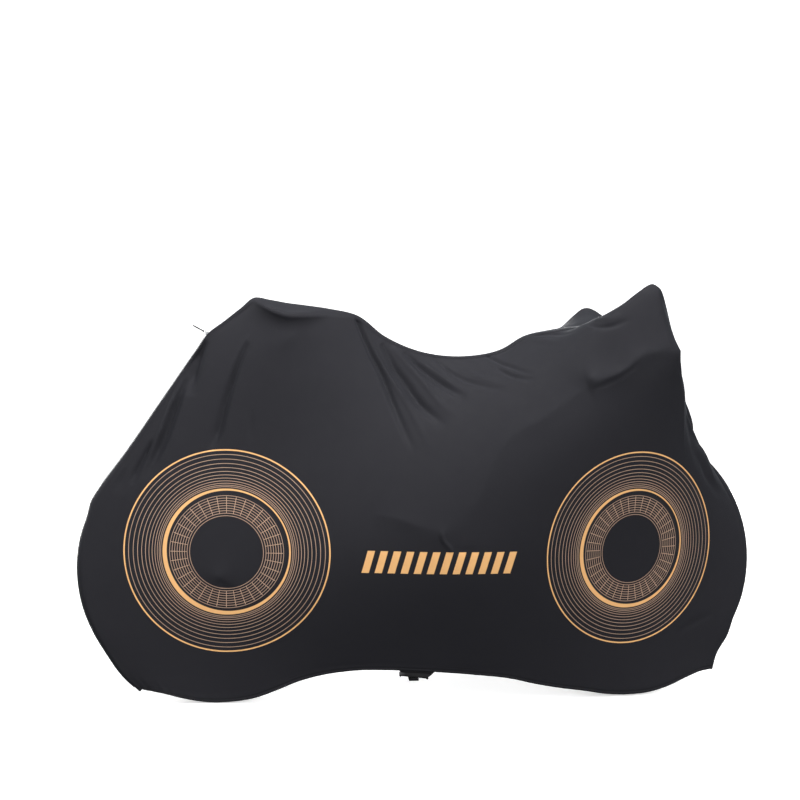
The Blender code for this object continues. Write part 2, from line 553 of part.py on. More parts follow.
def main():
    for thing in list(bpy.data.objects):
        bpy.data.objects.remove(thing, do_unlink=True)
    knit = material("knit_black", (0.030, 0.031, 0.034), 0.72)
    zip_black = material("zip_black", (0.012, 0.012, 0.013), 0.55)
    metal_light = material("metal_light", (0.62, 0.63, 0.64), 0.32, 1.0)
    pull_dark = material("pull_dark", (0.020, 0.020, 0.022), 0.50)
    webbing = material("webbing_black", (0.014, 0.014, 0.015), 0.80)
    plastic = material("plastic_black", (0.016, 0.016, 0.018), 0.45)

    right, right_grid = panel("panel_right", -1, knit)
    left, left_grid = panel("panel_left", +1, knit)

    # the rear crest between the facets' corners, from the hem upward; y in the middle plane
    rows = steps(PANEL_ROWS)
    outward = layout(-1)[2]
    line = 0.5 * (right_grid[0, ::-1] + left_grid[0, ::-1])
    turn = outward[0, rows][::-1]
    way = chord(line)
    gaps = np.linalg.norm(line[:, [0, 2]] - PULL_POINT, axis=1)
    nearest = int(np.argmin(gaps))
    dense = np.linspace(way[max(nearest - 1, 0)], way[min(nearest + 1, len(way) - 1)], 200)

    def on_crest(s):
        return (np.array([np.interp(s, way, line[:, c]) for c in range(3)]),
                np.array([np.interp(s, way, turn[:, c]) for c in range(3)]))

    pull_at = min(dense, key=lambda s: math.hypot(on_crest(s)[0][0] - PULL_POINT[0], on_crest(s)[0][2] - PULL_POINT[1]))
    side = np.array([0.0, 1.0, 0.0])
    stop = pull_at + SLIDER[0][0] - PIECE_GAP
    chain = []
    for s in [ZIP_FOOT, *[w for w in way if ZIP_FOOT + 0.004 < w < stop - 0.004], stop]:
        at, out = on_crest(s)
        out = out / np.linalg.norm(out)
        low, high = at + out * PIECE_GAP, at + out * (PIECE_GAP + ZIP_T)
        half, shoulder = side * 0.5 * ZIP_WIDTH, side * (0.5 * ZIP_WIDTH - 0.0006)
        chain.append([low - half, low + half, high - out * 0.0005 + half, high + shoulder, high - shoulder, high - out * 0.0005 - half])
    swept("zip_chain", chain, zip_black, smooth=False)

    # slider with its lug, ring and pull
    at, out = on_crest(pull_at)
    ahead = on_crest(pull_at + 0.004)[0] - on_crest(pull_at - 0.004)[0]
    ahead /= np.linalg.norm(ahead)
    out = np.cross(ahead, side)
    out *= np.sign(out[2]) if abs(out[2]) > 0 else 1.0
    base = at + out * PIECE_GAP
    slider = swept("zip_slider", [rounded(base + ahead * s + out * 0.5 * high, side, out, half, 0.5 * high)
                                  for s, half, high in SLIDER], metal_light)
    eye = base + out * (SLIDER[1][2] + 0.0017)
    foot = SLIDER[1][2] + 0.0017 - 0.0034
    lug = eyed_plate("slider_lug", eye, out, side, LUG_T,
                     [(-foot, -EYE_R), *fan(0.0, EYE_R, -90, 90, 13), (-foot, EYE_R), (-foot, 0.0)], metal_light)
    lug.hide_render = True
    lug.display_type = "WIRE"
    join = slider.modifiers.new("lug", "BOOLEAN")
    join.operation, join.solver, join.object = "UNION", "EXACT", lug
    pull = np.array(PULL_DIRECTION)
    pull /= np.linalg.norm(pull)
    ring_at = eye + pull * RING_R
    ring = []
    for k in range(24):
        a = 2 * math.pi * k / 24
        spoke = pull * math.cos(a) + np.cross(pull, side) * math.sin(a)
        ring.append([ring_at + spoke * (RING_R + RING_WIRE * math.cos(b)) + side * RING_WIRE * math.sin(b)
                     for b in [2 * math.pi * q / 10 for q in range(10)]])
    points = [p for section in ring for p in section]
    faces = [(s * 10 + k, s * 10 + (k + 1) % 10, ((s + 1) % 24) * 10 + (k + 1) % 10, ((s + 1) % 24) * 10 + k)
             for s in range(24) for k in range(10)]
    body("zip_ring", points, faces, metal_light)
    far_eye = eye + pull * 2 * RING_R
    tip = PULL_LENGTH - EYE_R - PULL_HALF
    eyed_plate("zip_pull", far_eye, pull, side, PULL_T,
               [*fan(0.0, EYE_R, 50, 310, 13), (0.0060, -PULL_HALF), *fan(tip, PULL_HALF, -90, 90, 9), (0.0060, PULL_HALF)], pull_dark)

    # tabs under the hem's middle, buckle on the right one, strap across
    hems = {}
    for name, grid, hand in (("tab_right", right_grid, -1), ("tab_left", left_grid, +1)):
        hem = grid[2:-2, -1]
        hems[hand] = hem
        marks = sorted({0.0, 1.0, *[(x - TAB[0][1]) / (TAB[0][2] - TAB[0][1]) for x in hem[:, 0] if TAB[0][1] + 0.004 < x < TAB[0][2] - 0.004]})
        points, faces = [], []
        for lift in (0.0002, 0.0002 + TAB_T):
            for below, x_rear, x_front in TAB:
                for share in marks:
                    x_top = TAB[0][1] + (TAB[0][2] - TAB[0][1]) * share
                    x = x_rear + (x_front - x_rear) * share
                    points.append((x, np.interp(x_top, hem[:, 0], hem[:, 1]) - hand * lift,
                                   np.interp(x_top, hem[:, 0], hem[:, 2]) - below - 0.0001))
        w, h = len(marks), len(TAB)
        for r in range(h - 1):
            for c in range(w - 1):
                k = r * w + c
                faces.append((k, k + 1, k + 1 + w, k + w))
                faces.append((k + w * h, k + w + w * h, k + 1 + w + w * h, k + 1 + w * h))
        loop = ([c for c in range(w)] + [r * w + w - 1 for r in range(1, h)] + [(h - 1) * w + c for c in range(w - 2, -1, -1)]
                + [r * w for r in range(h - 2, 0, -1)])
        for k, here in enumerate(loop):
            there = loop[(k + 1) % len(loop)]
            faces.append((here, here + w * h, there + w * h, there))
        body(name, points, faces, webbing, smooth=False)

    def under(hand, x):
        hem = hems[hand]
        return np.array([x, np.interp(x, hem[:, 0], hem[:, 1]), np.interp(x, hem[:, 0], hem[:, 2])])

    x_way, z_way = np.array([1.0, 0.0, 0.0]), np.array([0.0, 0.0, 1.0])
    buckle = swept("buckle", [rounded(under(-1, x) + side * BUCKLE_IN - z_way * 0.5 * (top + bottom), side, z_way, deep, 0.5 * (bottom - top))
                              for x, top, bottom, deep in BUCKLE], plastic)
    ends = [under(-1, x) + side * BUCKLE_IN - z_way * below for x, below in BUCKLE_BAR]
    tilt = ends[1] - ends[0]
    length = np.linalg.norm(tilt)
    tilt /= length
    upward = np.cross(tilt, side)
    upward /= np.linalg.norm(upward)
    across = np.cross(upward, tilt)
    turns = [2 * math.pi * k / 14 for k in range(14)]
    rod = swept("buckle_bar", [[ends[0] + tilt * s + (across * math.cos(a) + upward * math.sin(a)) * r for a in turns]
                               for s, r in (*BUCKLE_BALL, *[(length - s, r) for s, r in BUCKLE_BALL[::-1]])], plastic)
    rod.hide_render = True
    rod.display_type = "WIRE"
    join = buckle.modifiers.new("bar", "BOOLEAN")
    join.operation, join.solver, join.object = "UNION", "EXACT", rod
    near, far = under(-1, STRAP_X), under(+1, STRAP_X)
    z_end = near[2] - STRAP_BELOW
    inset = 0.0011
    path = [np.array([STRAP_X, 0.5 * (near[1] + far[1]) + share * (0.5 * (far[1] - near[1]) - inset), z_end - down])
            for share, down in STRAP_PATH]
    path[-1][2] = far[2] - TAB[-1][0] - PIECE_GAP - 0.0014
    strap = []
    for k, p in enumerate(path):
        run = path[min(k + 1, len(path) - 1)] - path[max(k - 1, 0)]
        if k in (0, len(path) - 1):
            run = z_way * (-1 if k == 0 else 1)
        run = run / np.linalg.norm(run)
        lift = np.cross(x_way, run)
        strap.append([p - x_way * 0.5 * STRAP_WIDTH - lift * 0.5 * STRAP_T, p + x_way * 0.5 * STRAP_WIDTH - lift * 0.5 * STRAP_T,
                      p + x_way * 0.5 * STRAP_WIDTH + lift * 0.5 * STRAP_T, p - x_way * 0.5 * STRAP_WIDTH + lift * 0.5 * STRAP_T])
    swept("strap", strap, webbing, smooth=False)


main()
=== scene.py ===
"""Look of the fitted stretch cover: its two panels as thin skins on their solids, with folds, hem, seam, zip and strap."""
import math

import bpy
import numpy as np
from mathutils import Matrix, Vector


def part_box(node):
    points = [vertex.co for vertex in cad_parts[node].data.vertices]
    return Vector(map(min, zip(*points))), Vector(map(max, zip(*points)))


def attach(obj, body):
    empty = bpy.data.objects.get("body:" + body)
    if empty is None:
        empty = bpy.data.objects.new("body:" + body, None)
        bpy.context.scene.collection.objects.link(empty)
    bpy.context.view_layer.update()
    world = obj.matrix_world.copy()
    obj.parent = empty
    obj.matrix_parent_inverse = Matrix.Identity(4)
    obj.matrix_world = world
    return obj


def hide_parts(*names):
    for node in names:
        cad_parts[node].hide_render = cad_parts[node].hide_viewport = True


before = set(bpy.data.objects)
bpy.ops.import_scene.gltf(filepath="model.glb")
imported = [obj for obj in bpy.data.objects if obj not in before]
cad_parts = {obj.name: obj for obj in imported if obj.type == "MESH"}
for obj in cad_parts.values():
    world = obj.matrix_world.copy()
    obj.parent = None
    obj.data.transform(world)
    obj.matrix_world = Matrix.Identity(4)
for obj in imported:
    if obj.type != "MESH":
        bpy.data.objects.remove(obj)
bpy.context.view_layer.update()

# ---- driving sizes -----------------------------------------------------------------------------
LOBE_R = 0.345          # radius of the round rear end
LOBE_R_FRONT = 0.342    # radius of the round front end
LOBE_Z = 0.340          # height of their centres over the ground
LOBE_REAR_X = 0.0       # centre of the rear end, in the layout's own x
LOBE_FRONT_X = 0.995    # centre of the front end
FRONT_TURN = math.radians(9.0)   # the front end is turned to the left by this much
CROWN = (0.165, 0.0, 0.9805)     # the point under the crown that becomes the origin
CLOTH_T = 0.0020        # thickness of a panel's solid
SEAM_GAP = 0.0003       # gap between the two panels along the crest
PIECE_GAP = 0.0004      # gap between any other two pieces

FINE_U, FINE_V = 448, 176     # cells of the worked-out surface: along the cover, and from crest to hem
RINGS = 8                    # rows of cells that make the rounded crest
RING_ANGLES = (0.0, 13.0, 26.0, 38.0, 50.0, 60.5, 71.0, 80.5, 90.0)

# ---- the crest, from the rear end of the hem over the top to the front end of the hem ---------------
# x, z: the seam line. half_width: how far the cloth stands to each side there. drop: how far below the seam.
# flat: 0 where the crest is rounded over, up to 1 where it is a flat facet with an edge. Left out where it is 0.
CREST_REAR_FOOT = (
    # name              x       z      half_width drop   flat
    ("hem_end",        -0.197,  0.035,  0.012,  0.010),
    ("gather_low",     -0.236,  0.072,  0.014,  0.012),
    ("gather_high",    -0.277,  0.131,  0.016,  0.014),
)
CREST_REAR_EDGE = (
    ("shoulder_low",   -0.310,  0.505,  0.018,  0.015),
    ("shoulder",       -0.290,  0.537,  0.017,  0.014),
    ("shoulder_high",  -0.269,  0.566,  0.015,  0.013),
    ("edge_low",       -0.244,  0.599,  0.013,  0.012),
    ("edge_mid",       -0.155,  0.728,  0.009,  0.010),
    ("edge_high",      -0.080,  0.838,  0.007,  0.009),
    ("edge_top",       -0.0545, 0.8748, 0.006,  0.008),
    ("pull_point",     -0.0325, 0.9075, 0.005,  0.007),
    ("sag",             0.0065, 0.9380, 0.007,  0.008),
    ("rise",            0.048,  0.971,  0.012,  0.010),
    ("tail",            0.080,  0.996,  0.026,  0.012,  0.5),
)
CREST_TOP = (
    ("crown_rear",      0.120,  0.991,  0.056,  0.022,  1.0),
    ("crown",           0.160,  0.984,  0.069,  0.031,  1.0),
    ("crown_front",     0.200,  0.979,  0.062,  0.027,  1.0),
    ("neck",            0.265,  0.970,  0.034,  0.019,  0.8),
    ("nose",            0.330,  0.955,  0.017,  0.013,  0.4),
    ("slope",           0.400,  0.9035,  0.009,  0.009),
    ("slope_foot",      0.480,  0.8690,  0.008,  0.008),
    ("dip",             0.600,  0.8565,  0.008,  0.008),
    ("dip_front",       0.684,  0.8725,  0.012,  0.008),
    ("step",            0.745,  0.907,  0.020,  0.007),
    ("shelf",           0.812,  0.922,  0.040,  0.005),
    ("bar",             0.880,  0.931,  0.055,  0.004),
    ("valley",          0.960,  0.930,  0.050,  0.004),
    ("front_top",       1.040,  0.922,  0.045,  0.006),
)
CREST_FRONT_EDGE = (
    ("brow",            1.074,  0.884,  0.040,  0.007),
    ("front_high",      1.110,  0.834,  0.034,  0.009),
    ("front_mid",       1.147,  0.765,  0.026,  0.012),
    ("front_low",       1.177,  0.690,  0.020,  0.014),
)
CREST_FRONT_FOOT = (
    ("foot_high",       1.284,  0.148,  0.016,  0.014),
    ("foot_low",        1.254,  0.098,  0.014,  0.012),
    ("hem_end",         1.244,  0.061,  0.012,  0.010),
)
# angles of the round ends that the cloth follows, in degrees from +X, first and last, and how many rows
REAR_ARC = (208.0, 158.0, 6)
FRONT_ARC = (55.5, -27.0, 9)
ARC_HALF_WIDTH, ARC_DROP = 0.019, 0.016

# ---- the hem: the free lower edge, x and z, and how far it stands from the middle plane ---------------
HEM = (
    # x       z      half_width
    (-0.138,  0.034,  0.024),
    (-0.084,  0.021,  0.029),
    (-0.030,  0.013,  0.032),
    ( 0.030,  0.014,  0.034),
    ( 0.081,  0.022,  0.037),
    ( 0.139,  0.043,  0.042),
    ( 0.189,  0.064,  0.047),
    ( 0.247,  0.080,  0.052),
    ( 0.315,  0.090,  0.058),
    ( 0.431,  0.091,  0.064),
    ( 0.519,  0.086,  0.066),
    ( 0.615,  0.077,  0.064),
    ( 0.710,  0.065,  0.060),
    ( 0.768,  0.051,  0.056),
    ( 0.834,  0.038,  0.051),
    ( 0.898,  0.028,  0.046),
    ( 0.952,  0.018,  0.041),
    ( 1.014,  0.014,  0.037),
    ( 1.072,  0.018,  0.034),
    ( 1.121,  0.030,  0.030),
    ( 1.168,  0.048,  0.025),
    ( 1.209,  0.061,  0.019),
)

# ---- what holds the cloth out: points it bears on, and where on the cloth they bear -----------------------
# u, v: share of the way along the panel and share of the way from crest to hem. side: -1 right, +1 left.
BEARS_ON = (
    # name            side   u      v       x       y       z
    ("bar_inner",      -1,   0.752, 0.085,  0.872, -0.100,  0.938),
    ("bar_corner",     -1,   0.775, 0.150,  0.893, -0.160,  0.948),
    ("horn_ramp",      -1,   0.815, 0.185,  0.945, -0.184,  0.985),
    ("horn_crest",     -1,   0.850, 0.205,  0.992, -0.192,  1.022),
    ("horn_tip",       -1,   0.868, 0.220,  1.016, -0.195,  1.034),
    ("horn_brow",      -1,   0.880, 0.235,  1.033, -0.198,  1.024),
    ("horn_face",      -1,   0.882, 0.268,  1.038, -0.202,  0.992),
    ("spur_mid",       -1,   0.880, 0.320,  1.052, -0.206,  0.930),
    ("spur_tip",       -1,   0.878, 0.370,  1.076, -0.208,  0.873),
    ("corner_high",    -1,   0.880, 0.430,  1.074, -0.188,  0.800),
    ("face_high",      -1,   0.926, 0.397,  1.107, -0.131,  0.774),
    ("face_mid",       -1,   0.944, 0.433,  1.140, -0.088,  0.698),
    ("face_low",       -1,   0.968, 0.458,  1.180, -0.039,  0.624),
    ("bar_end",        -1,   0.745, 0.310,  0.873, -0.208,  0.818),
    ("side_high",      -1,   0.535, 0.545,  0.526, -0.182,  0.438),
    ("side_low",       -1,   0.545, 0.590,  0.551, -0.180,  0.391),
    ("hub_point",      -1,   0.225, 0.620, -0.004, -0.070,  0.336),
    ("flank_rear",     -1,   0.051, 0.069,  0.100, -0.050,  0.930),
    ("flank_high",     -1,   0.120, 0.083,  0.166, -0.069,  0.900),
    ("flank_mid",      -1,   0.176, 0.174,  0.166, -0.074,  0.802),
    ("flank_low",      -1,   0.245, 0.316,  0.163, -0.084,  0.647),
    ("neck_high",      -1,   0.167, 0.069,  0.229, -0.056,  0.903),
    ("neck_mid",       -1,   0.227, 0.165,  0.231, -0.071,  0.795),
    ("bar_inner",      +1,   0.740, 0.100,  0.846,  0.110,  0.922),
    ("bar_corner",     +1,   0.748, 0.170,  0.846,  0.180,  0.903),
    ("horn_ramp",      +1,   0.775, 0.210,  0.886,  0.206,  0.934),
    ("horn_crest",     +1,   0.805, 0.230,  0.920,  0.217,  0.962),
    ("horn_tip",       +1,   0.818, 0.245,  0.934,  0.221,  0.972),
    ("horn_brow",      +1,   0.826, 0.260,  0.944,  0.223,  0.969),
    ("horn_face",      +1,   0.832, 0.290,  0.953,  0.225,  0.942),
    ("spur_mid",       +1,   0.832, 0.340,  0.970,  0.225,  0.876),
    ("spur_tip",       +1,   0.830, 0.390,  0.998,  0.225,  0.815),
    ("bar_end",        +1,   0.700, 0.330,  0.790,  0.222,  0.762),
    ("side_rear",      +1,   0.375, 0.850,  0.262,  0.160,  0.168),
    ("side_front",     +1,   0.420, 0.850,  0.325,  0.162,  0.176),
    ("hub_point",      +1,   0.225, 0.620,  0.000,  0.068,  0.340),
    ("hub_front",      +1,   0.800, 0.640,  0.985,  0.066,  0.340),
    ("flank_rear",     +1,   0.051, 0.069,  0.100,  0.050,  0.930),
    ("flank_high",     +1,   0.116, 0.083,  0.163,  0.069,  0.901),
    ("flank_mid",      +1,   0.176, 0.184,  0.167,  0.072,  0.796),
    ("flank_low",      +1,   0.241, 0.316,  0.168,  0.076,  0.654),
    ("neck_high",      +1,   0.171, 0.076,  0.231,  0.056,  0.896),
    ("neck_mid",       +1,   0.222, 0.165,  0.232,  0.069,  0.800),
)
SPAN_U, SPAN_V = 1.45, 1.05      # the panel's rough length and height, for the size of its cells
BEND_REACH = 0.22                # how far the cloth's own stiffness carries round a point it bears on
NET_STEP = 6                     # the taut shape is solved on every sixth cell and read between

# ---- the facets of the solids: first and last fine column or row, and how many cells between -------------------
PANEL_COLUMNS = ((0, 4, 2), (4, 52, 12), (52, 148, 16), (148, 220, 16), (220, 224, 2))
PANEL_ROWS = ((0, 4, 2), (4, 88, 20))

# ---- small pieces -------------------------------------------------------------------------------------
ZIP_WIDTH, ZIP_T = 0.0050, 0.0012     # the closed chain
ZIP_FOOT = 0.016                      # its lower end stands this far up the crest from the hem
PULL_POINT = (-0.0325, 0.9075)          # where the slider stands on the rear crest
SLIDER = (
    # along     half_width  height
    (-0.0050,   0.0028,     0.0032),
    (-0.0042,   0.0040,     0.0044),
    ( 0.0034,   0.0040,     0.0044),
    ( 0.0050,   0.0026,     0.0034),
)
EYE_R, EYE_HOLE_R = 0.0029, 0.0016    # the slider's lug and the pull's eye
LUG_T, PULL_T = 0.0016, 0.0030
RING_R, RING_WIRE = 0.0040, 0.0008                  # small ring: radius of its middle line, radius of its wire
PULL_DIRECTION = (-0.88, 0.0, 0.475)
PULL_LENGTH, PULL_HALF = 0.031, 0.0018
TAB = (
    # below_hem  x_rear   x_front
    (0.0004,     0.4330,  0.5200),
    (0.0020,     0.4362,  0.5172),
    (0.0048,     0.4392,  0.5146),
)
TAB_T = 0.0016
BUCKLE = (
    # the buckle's plate, whose upper edge stands behind the tab; top and bottom lie below the hem
    # x        top      bottom   half_depth
    ( 0.4334,  0.0050,  0.0122,  0.0008),
    ( 0.4344,  0.0036,  0.0134,  0.0011),
    ( 0.4975,  0.0032,  0.0166,  0.0011),
    ( 0.5040,  0.0034,  0.0156,  0.0011),
    ( 0.5136,  0.0044,  0.0078,  0.0009),
)
BUCKLE_BAR = ((0.4369, 0.0129), (0.5023, 0.0170))   # the bar's two ends: x, and how far below the hem
BUCKLE_IN = 0.0034                    # how far inside the hem the buckle hangs
BUCKLE_BALL = (
    # along     radius       from the bar's end inward; the last radius is the bar's own
    (-0.0033,   0.0009),
    (-0.0026,   0.0021),
    (-0.0014,   0.0030),
    ( 0.0000,   0.0033),
    ( 0.0014,   0.0030),
    ( 0.0026,   0.0021),
    ( 0.0032,   0.0014),
)
STRAP_X, STRAP_WIDTH, STRAP_T = (0.4698, 0.0240, 0.0015)
STRAP_BELOW = 0.0184                  # the strap's near end, below the hem
STRAP_PATH = (
    # share of the hem's half width, how far below the strap's near end
    (-1.000,  0.0000),
    (-0.998,  0.0034),
    (-0.975,  0.0058),
    (-0.930,  0.0066),
    (-0.860,  0.0060),
    (-0.700,  0.0040),
    (-0.500,  0.0014),
    ( 0.000, -0.0030),
    ( 0.500, -0.0056),
    ( 0.880, -0.0076),
    ( 0.960, -0.0082),
    ( 0.990, -0.0092),
    ( 1.000, -0.0116),
)


def middle(x):
    """the middle plane's y and its slope at x: straight at the rear, turned to the left at the front"""
    t = math.tan(FRONT_TURN)
    d = np.asarray(x, float) - LOBE_FRONT_X
    root = np.sqrt(d * d + 0.12 ** 2)
    return 0.5 * t * (d + root), 0.5 * t * (1.0 + d / root)


def crest_rows():
    """every row of the crest in order, and which of them are the corners tail and front_top"""
    def arc(cx, r, first, last, count):
        turn = math.cos(FRONT_TURN) if cx else 1.0
        out = []
        for i in range(count):
            a = math.radians(first + (last - first) * i / (count - 1))
            out.append(("arc", cx + r * math.cos(a) * turn, LOBE_Z + r * math.sin(a), ARC_HALF_WIDTH, ARC_DROP))
        return out
    rows = [*CREST_REAR_FOOT, *arc(LOBE_REAR_X, LOBE_R, *REAR_ARC), *CREST_REAR_EDGE, *CREST_TOP, *CREST_FRONT_EDGE,
            *arc(LOBE_FRONT_X, LOBE_R_FRONT, *FRONT_ARC), *CREST_FRONT_FOOT]
    names = [r[0] for r in rows]
    rows = np.array([(*r[1:], 0.0)[:5] for r in rows], float)
    return rows, names.index("tail"), names.index("front_top")


def spline(knots, values, at):
    """smooth curve through the values at the knots, read at the given places (cubic Hermite, slopes from neighbours)"""
    knots, values, at = np.asarray(knots, float), np.asarray(values, float), np.asarray(at, float)
    step = np.diff(knots)
    grade = np.diff(values, axis=0) / step[:, None]
    slope = np.empty_like(values)
    slope[1:-1] = (grade[:-1] * step[1:, None] + grade[1:] * step[:-1, None]) / (step[1:] + step[:-1])[:, None]
    slope[0], slope[-1] = grade[0], grade[-1]
    k = np.clip(np.searchsorted(knots, at, side="right") - 1, 0, len(step) - 1)
    h = step[k][:, None]
    t = ((at - knots[k]) / step[k])[:, None]
    a, b, m, n = values[k], values[k + 1], slope[k], slope[k + 1]
    return ((2 * t ** 3 - 3 * t ** 2 + 1) * a + (t ** 3 - 2 * t ** 2 + t) * h * m
            + (3 * t ** 2 - 2 * t ** 3) * b + (t ** 3 - t ** 2) * h * n)


def chord(points):
    return np.concatenate([[0.0], np.cumsum(np.linalg.norm(np.diff(points, axis=0), axis=1))])


def spread_v(count):
    """shares of the way from crest to hem, closer together near the crest"""
    t = np.linspace(0.0, 1.0, count + 1)
    return 0.34 * t + 0.66 * t ** 1.7


def spread_u(t):
    """shares of the way along the crest's top, closer together at its front third"""
    return np.interp(t, (0.0, 0.74, 1.0), (0.0, 0.835, 1.0))


def layout(side):
    """the fixed rows of one panel: the rounded crest on three sides, and the hem. Returns the grid, a mask of fixed
    nodes, and the crest's outward direction at the seam"""
    rows, tail, top = crest_rows()
    knots = chord(rows[:, :2])
    dense = np.linspace(0.0, knots[-1], 1200)
    curve = spline(knots, rows, dense)
    way = chord(curve[:, :2])
    s_tail = np.interp(knots[tail], dense, way)
    s_top = np.interp(knots[top], dense, way)

    def crest(s):
        at = np.interp(s, way, dense)
        here = spline(knots, rows, at)
        ahead = spline(knots, rows, np.clip(at + 0.012, 0, knots[-1]))[:, :2]
        behind = spline(knots, rows, np.clip(at - 0.012, 0, knots[-1]))[:, :2]
        run = ahead - behind
        run /= np.linalg.norm(run, axis=1)[:, None]
        out = np.stack([-run[:, 1], run[:, 0]], -1)      # outward, in the plane of the crest
        return here, out

    n, m = FINE_U, FINE_V
    grid = np.zeros((n + 1, m + 1, 3))
    fixed = np.zeros((n + 1, m + 1), bool)
    outward = np.zeros((n + 1, m + 1, 3))
    v = spread_v(m)

    def put(index, s, k):
        here, out = crest(np.asarray(s, float))
        a = math.radians(RING_ANGLES[k])
        mid, slope = middle(here[:, 0])
        across = np.stack([-slope, np.ones_like(slope), np.zeros_like(slope)], -1)
        across /= np.linalg.norm(across, axis=1)[:, None]
        flat = np.clip(here[:, 4], 0.0, 1.0)
        share = a / (0.5 * math.pi)
        reach = here[:, 2] * (math.sin(a) * (1 - flat) + share * flat) + 0.5 * SEAM_GAP
        down = here[:, 3] * ((1.0 - math.cos(a)) * (1 - flat) + share ** 1.35 * flat)
        inplane = np.stack([out[:, 0], out[:, 0] * slope, out[:, 1]], -1)
        inplane /= np.linalg.norm(inplane, axis=1)[:, None]
        base = np.stack([here[:, 0], mid, here[:, 1]], -1)
        point = base + side * across * reach[:, None] - inplane * down[:, None]
        for (i, j), p, o in zip(index, point, inplane):
            grid[i, j] = p
            fixed[i, j] = True
            outward[i, j] = o

    for k in range(RINGS + 1):
        rest = np.arange(k, m + 1)
        along = np.interp((rest - k) / (m - k), np.linspace(0, 1, m + 1), v)
        put([(k, j) for j in rest], s_tail - s_tail * along, k)
        across_top = np.arange(k, n - k + 1)
        put([(i, k) for i in across_top], s_tail + (s_top - s_tail) * spread_u((across_top - k) / (n - 2 * k)), k)
        put([(n - k, j) for j in rest], s_top + (way[-1] - s_top) * along, k)

    # the hem runs from the inner ring's rear end to its front end
    mid, slope = middle(np.array([r[0] for r in HEM]))
    hem = np.array([(x, y + side * w, z) for (x, z, w), y in zip(HEM, mid)])
    hem = np.vstack([grid[RINGS, m], hem, grid[n - RINGS, m]])
    knots_h = chord(hem)
    dense_h = np.linspace(0, knots_h[-1], 1000)
    line = spline(knots_h, hem, dense_h)
    way_h = chord(line)
    at = np.interp(np.linspace(0, way_h[-1], n - 2 * RINGS + 1), way_h, dense_h)
    grid[RINGS:n - RINGS + 1, m] = spline(knots_h, hem, at)
    fixed[RINGS:n - RINGS + 1, m] = True
    return grid, fixed, outward


def taut(net, v, pins):
    """the smooth taut shape of a net between its fixed edges and the points in pins, {(i, j): point}"""
    a, b = net.shape[0] - 1, net.shape[1] - 1
    number = np.arange((a + 1) * (b + 1)).reshape(a + 1, b + 1)
    hu = SPAN_U / a
    hv = np.diff(v) * SPAN_V
    size = (a + 1) * (b + 1)
    energy = np.zeros((size, size))
    for j in range(1, b):
        low, high = hv[j - 1], hv[j]
        w_low, w_high = 2 / (low * (low + high)), 2 / (high * (low + high))
        weight = np.array([-(2 / hu ** 2 + w_low + w_high), 1 / hu ** 2, 1 / hu ** 2, w_low, w_high])
        share = np.outer(weight, weight) * hu * 0.5 * (low + high)
        for i in range(1, a):
            cross = [number[i, j], number[i - 1, j], number[i + 1, j], number[i, j - 1], number[i, j + 1]]
            energy[np.ix_(cross, cross)] += share
    pull = 1.0 / BEND_REACH ** 2

    def tie(p, q, weight):
        energy[p, p] += weight
        energy[q, q] += weight
        energy[p, q] -= weight
        energy[q, p] -= weight

    for j in range(b + 1):
        high = 0.5 * ((hv[j - 1] if j else 0) + (hv[j] if j < b else 0))
        for i in range(a):
            tie(number[i, j], number[i + 1, j], pull * high / hu)
    for j in range(b):
        for i in range(a + 1):
            wide = hu if 0 < i < a else 0.5 * hu
            tie(number[i, j], number[i, j + 1], pull * wide / hv[j])
    flat = net.reshape(-1, 3).copy()
    known = np.zeros((a + 1, b + 1), bool)
    known[0] = known[-1] = True
    known[:, 0] = known[:, -1] = True
    for (i, j), point in pins.items():
        flat[number[i, j]] = point
        known[i, j] = True
    known = known.ravel()
    free = np.flatnonzero(~known)
    # the equations of the free nodes form a narrow band, which is eliminated row by row
    part_a = energy[np.ix_(free, free)]
    result = -energy[np.ix_(free, np.flatnonzero(known))] @ flat[known]
    band = 2 * (b + 1) + 3
    for k in range(len(free)):
        below = slice(k + 1, k + 1 + band)
        factor = part_a[below, k] / part_a[k, k]
        part_a[below, below] -= np.outer(factor, part_a[k, below])
        result[below] -= np.outer(factor, result[k])
    for k in reversed(range(len(free))):
        below = slice(k + 1, k + 1 + band)
        result[k] = (result[k] - part_a[k, below] @ result[below]) / part_a[k, k]
    flat[free] = result
    return flat.reshape(net.shape)


def stretched(side):
    """the panel's surface as a taut skin between crest and hem over the points it bears on"""
    grid, fixed, outward = layout(side)
    n, m, k = FINE_U, FINE_V, RINGS
    v = spread_v(m)
    skin = grid[k:n - k + 1, k:]
    vv = (v[k:] - v[k]) / (1 - v[k])
    net = skin[::NET_STEP, ::NET_STEP]
    pins = {}
    for name, on, u, down, x, y, z in BEARS_ON:
        if on == side:
            i = int(round(u * (net.shape[0] - 1)))
            j = int(np.argmin(np.abs(v[k::NET_STEP] - down)))
            pins[i, j] = (x, y, z)
    net = taut(net, vv[::NET_STEP], pins)
    across, along = net.shape[1], net.shape[0]
    fine = spline(np.arange(along) * NET_STEP, net.reshape(along, -1), np.arange(skin.shape[0]))
    fine = fine.reshape(-1, across, 3).transpose(1, 0, 2).reshape(across, -1)
    fine = spline(np.arange(across) * NET_STEP, fine, np.arange(skin.shape[1]))
    fine = fine.reshape(skin.shape[1], skin.shape[0], 3).transpose(1, 0, 2)
    skin[1:-1, 1:-1] = fine[1:-1, 1:-1]
    return grid, fixed, outward


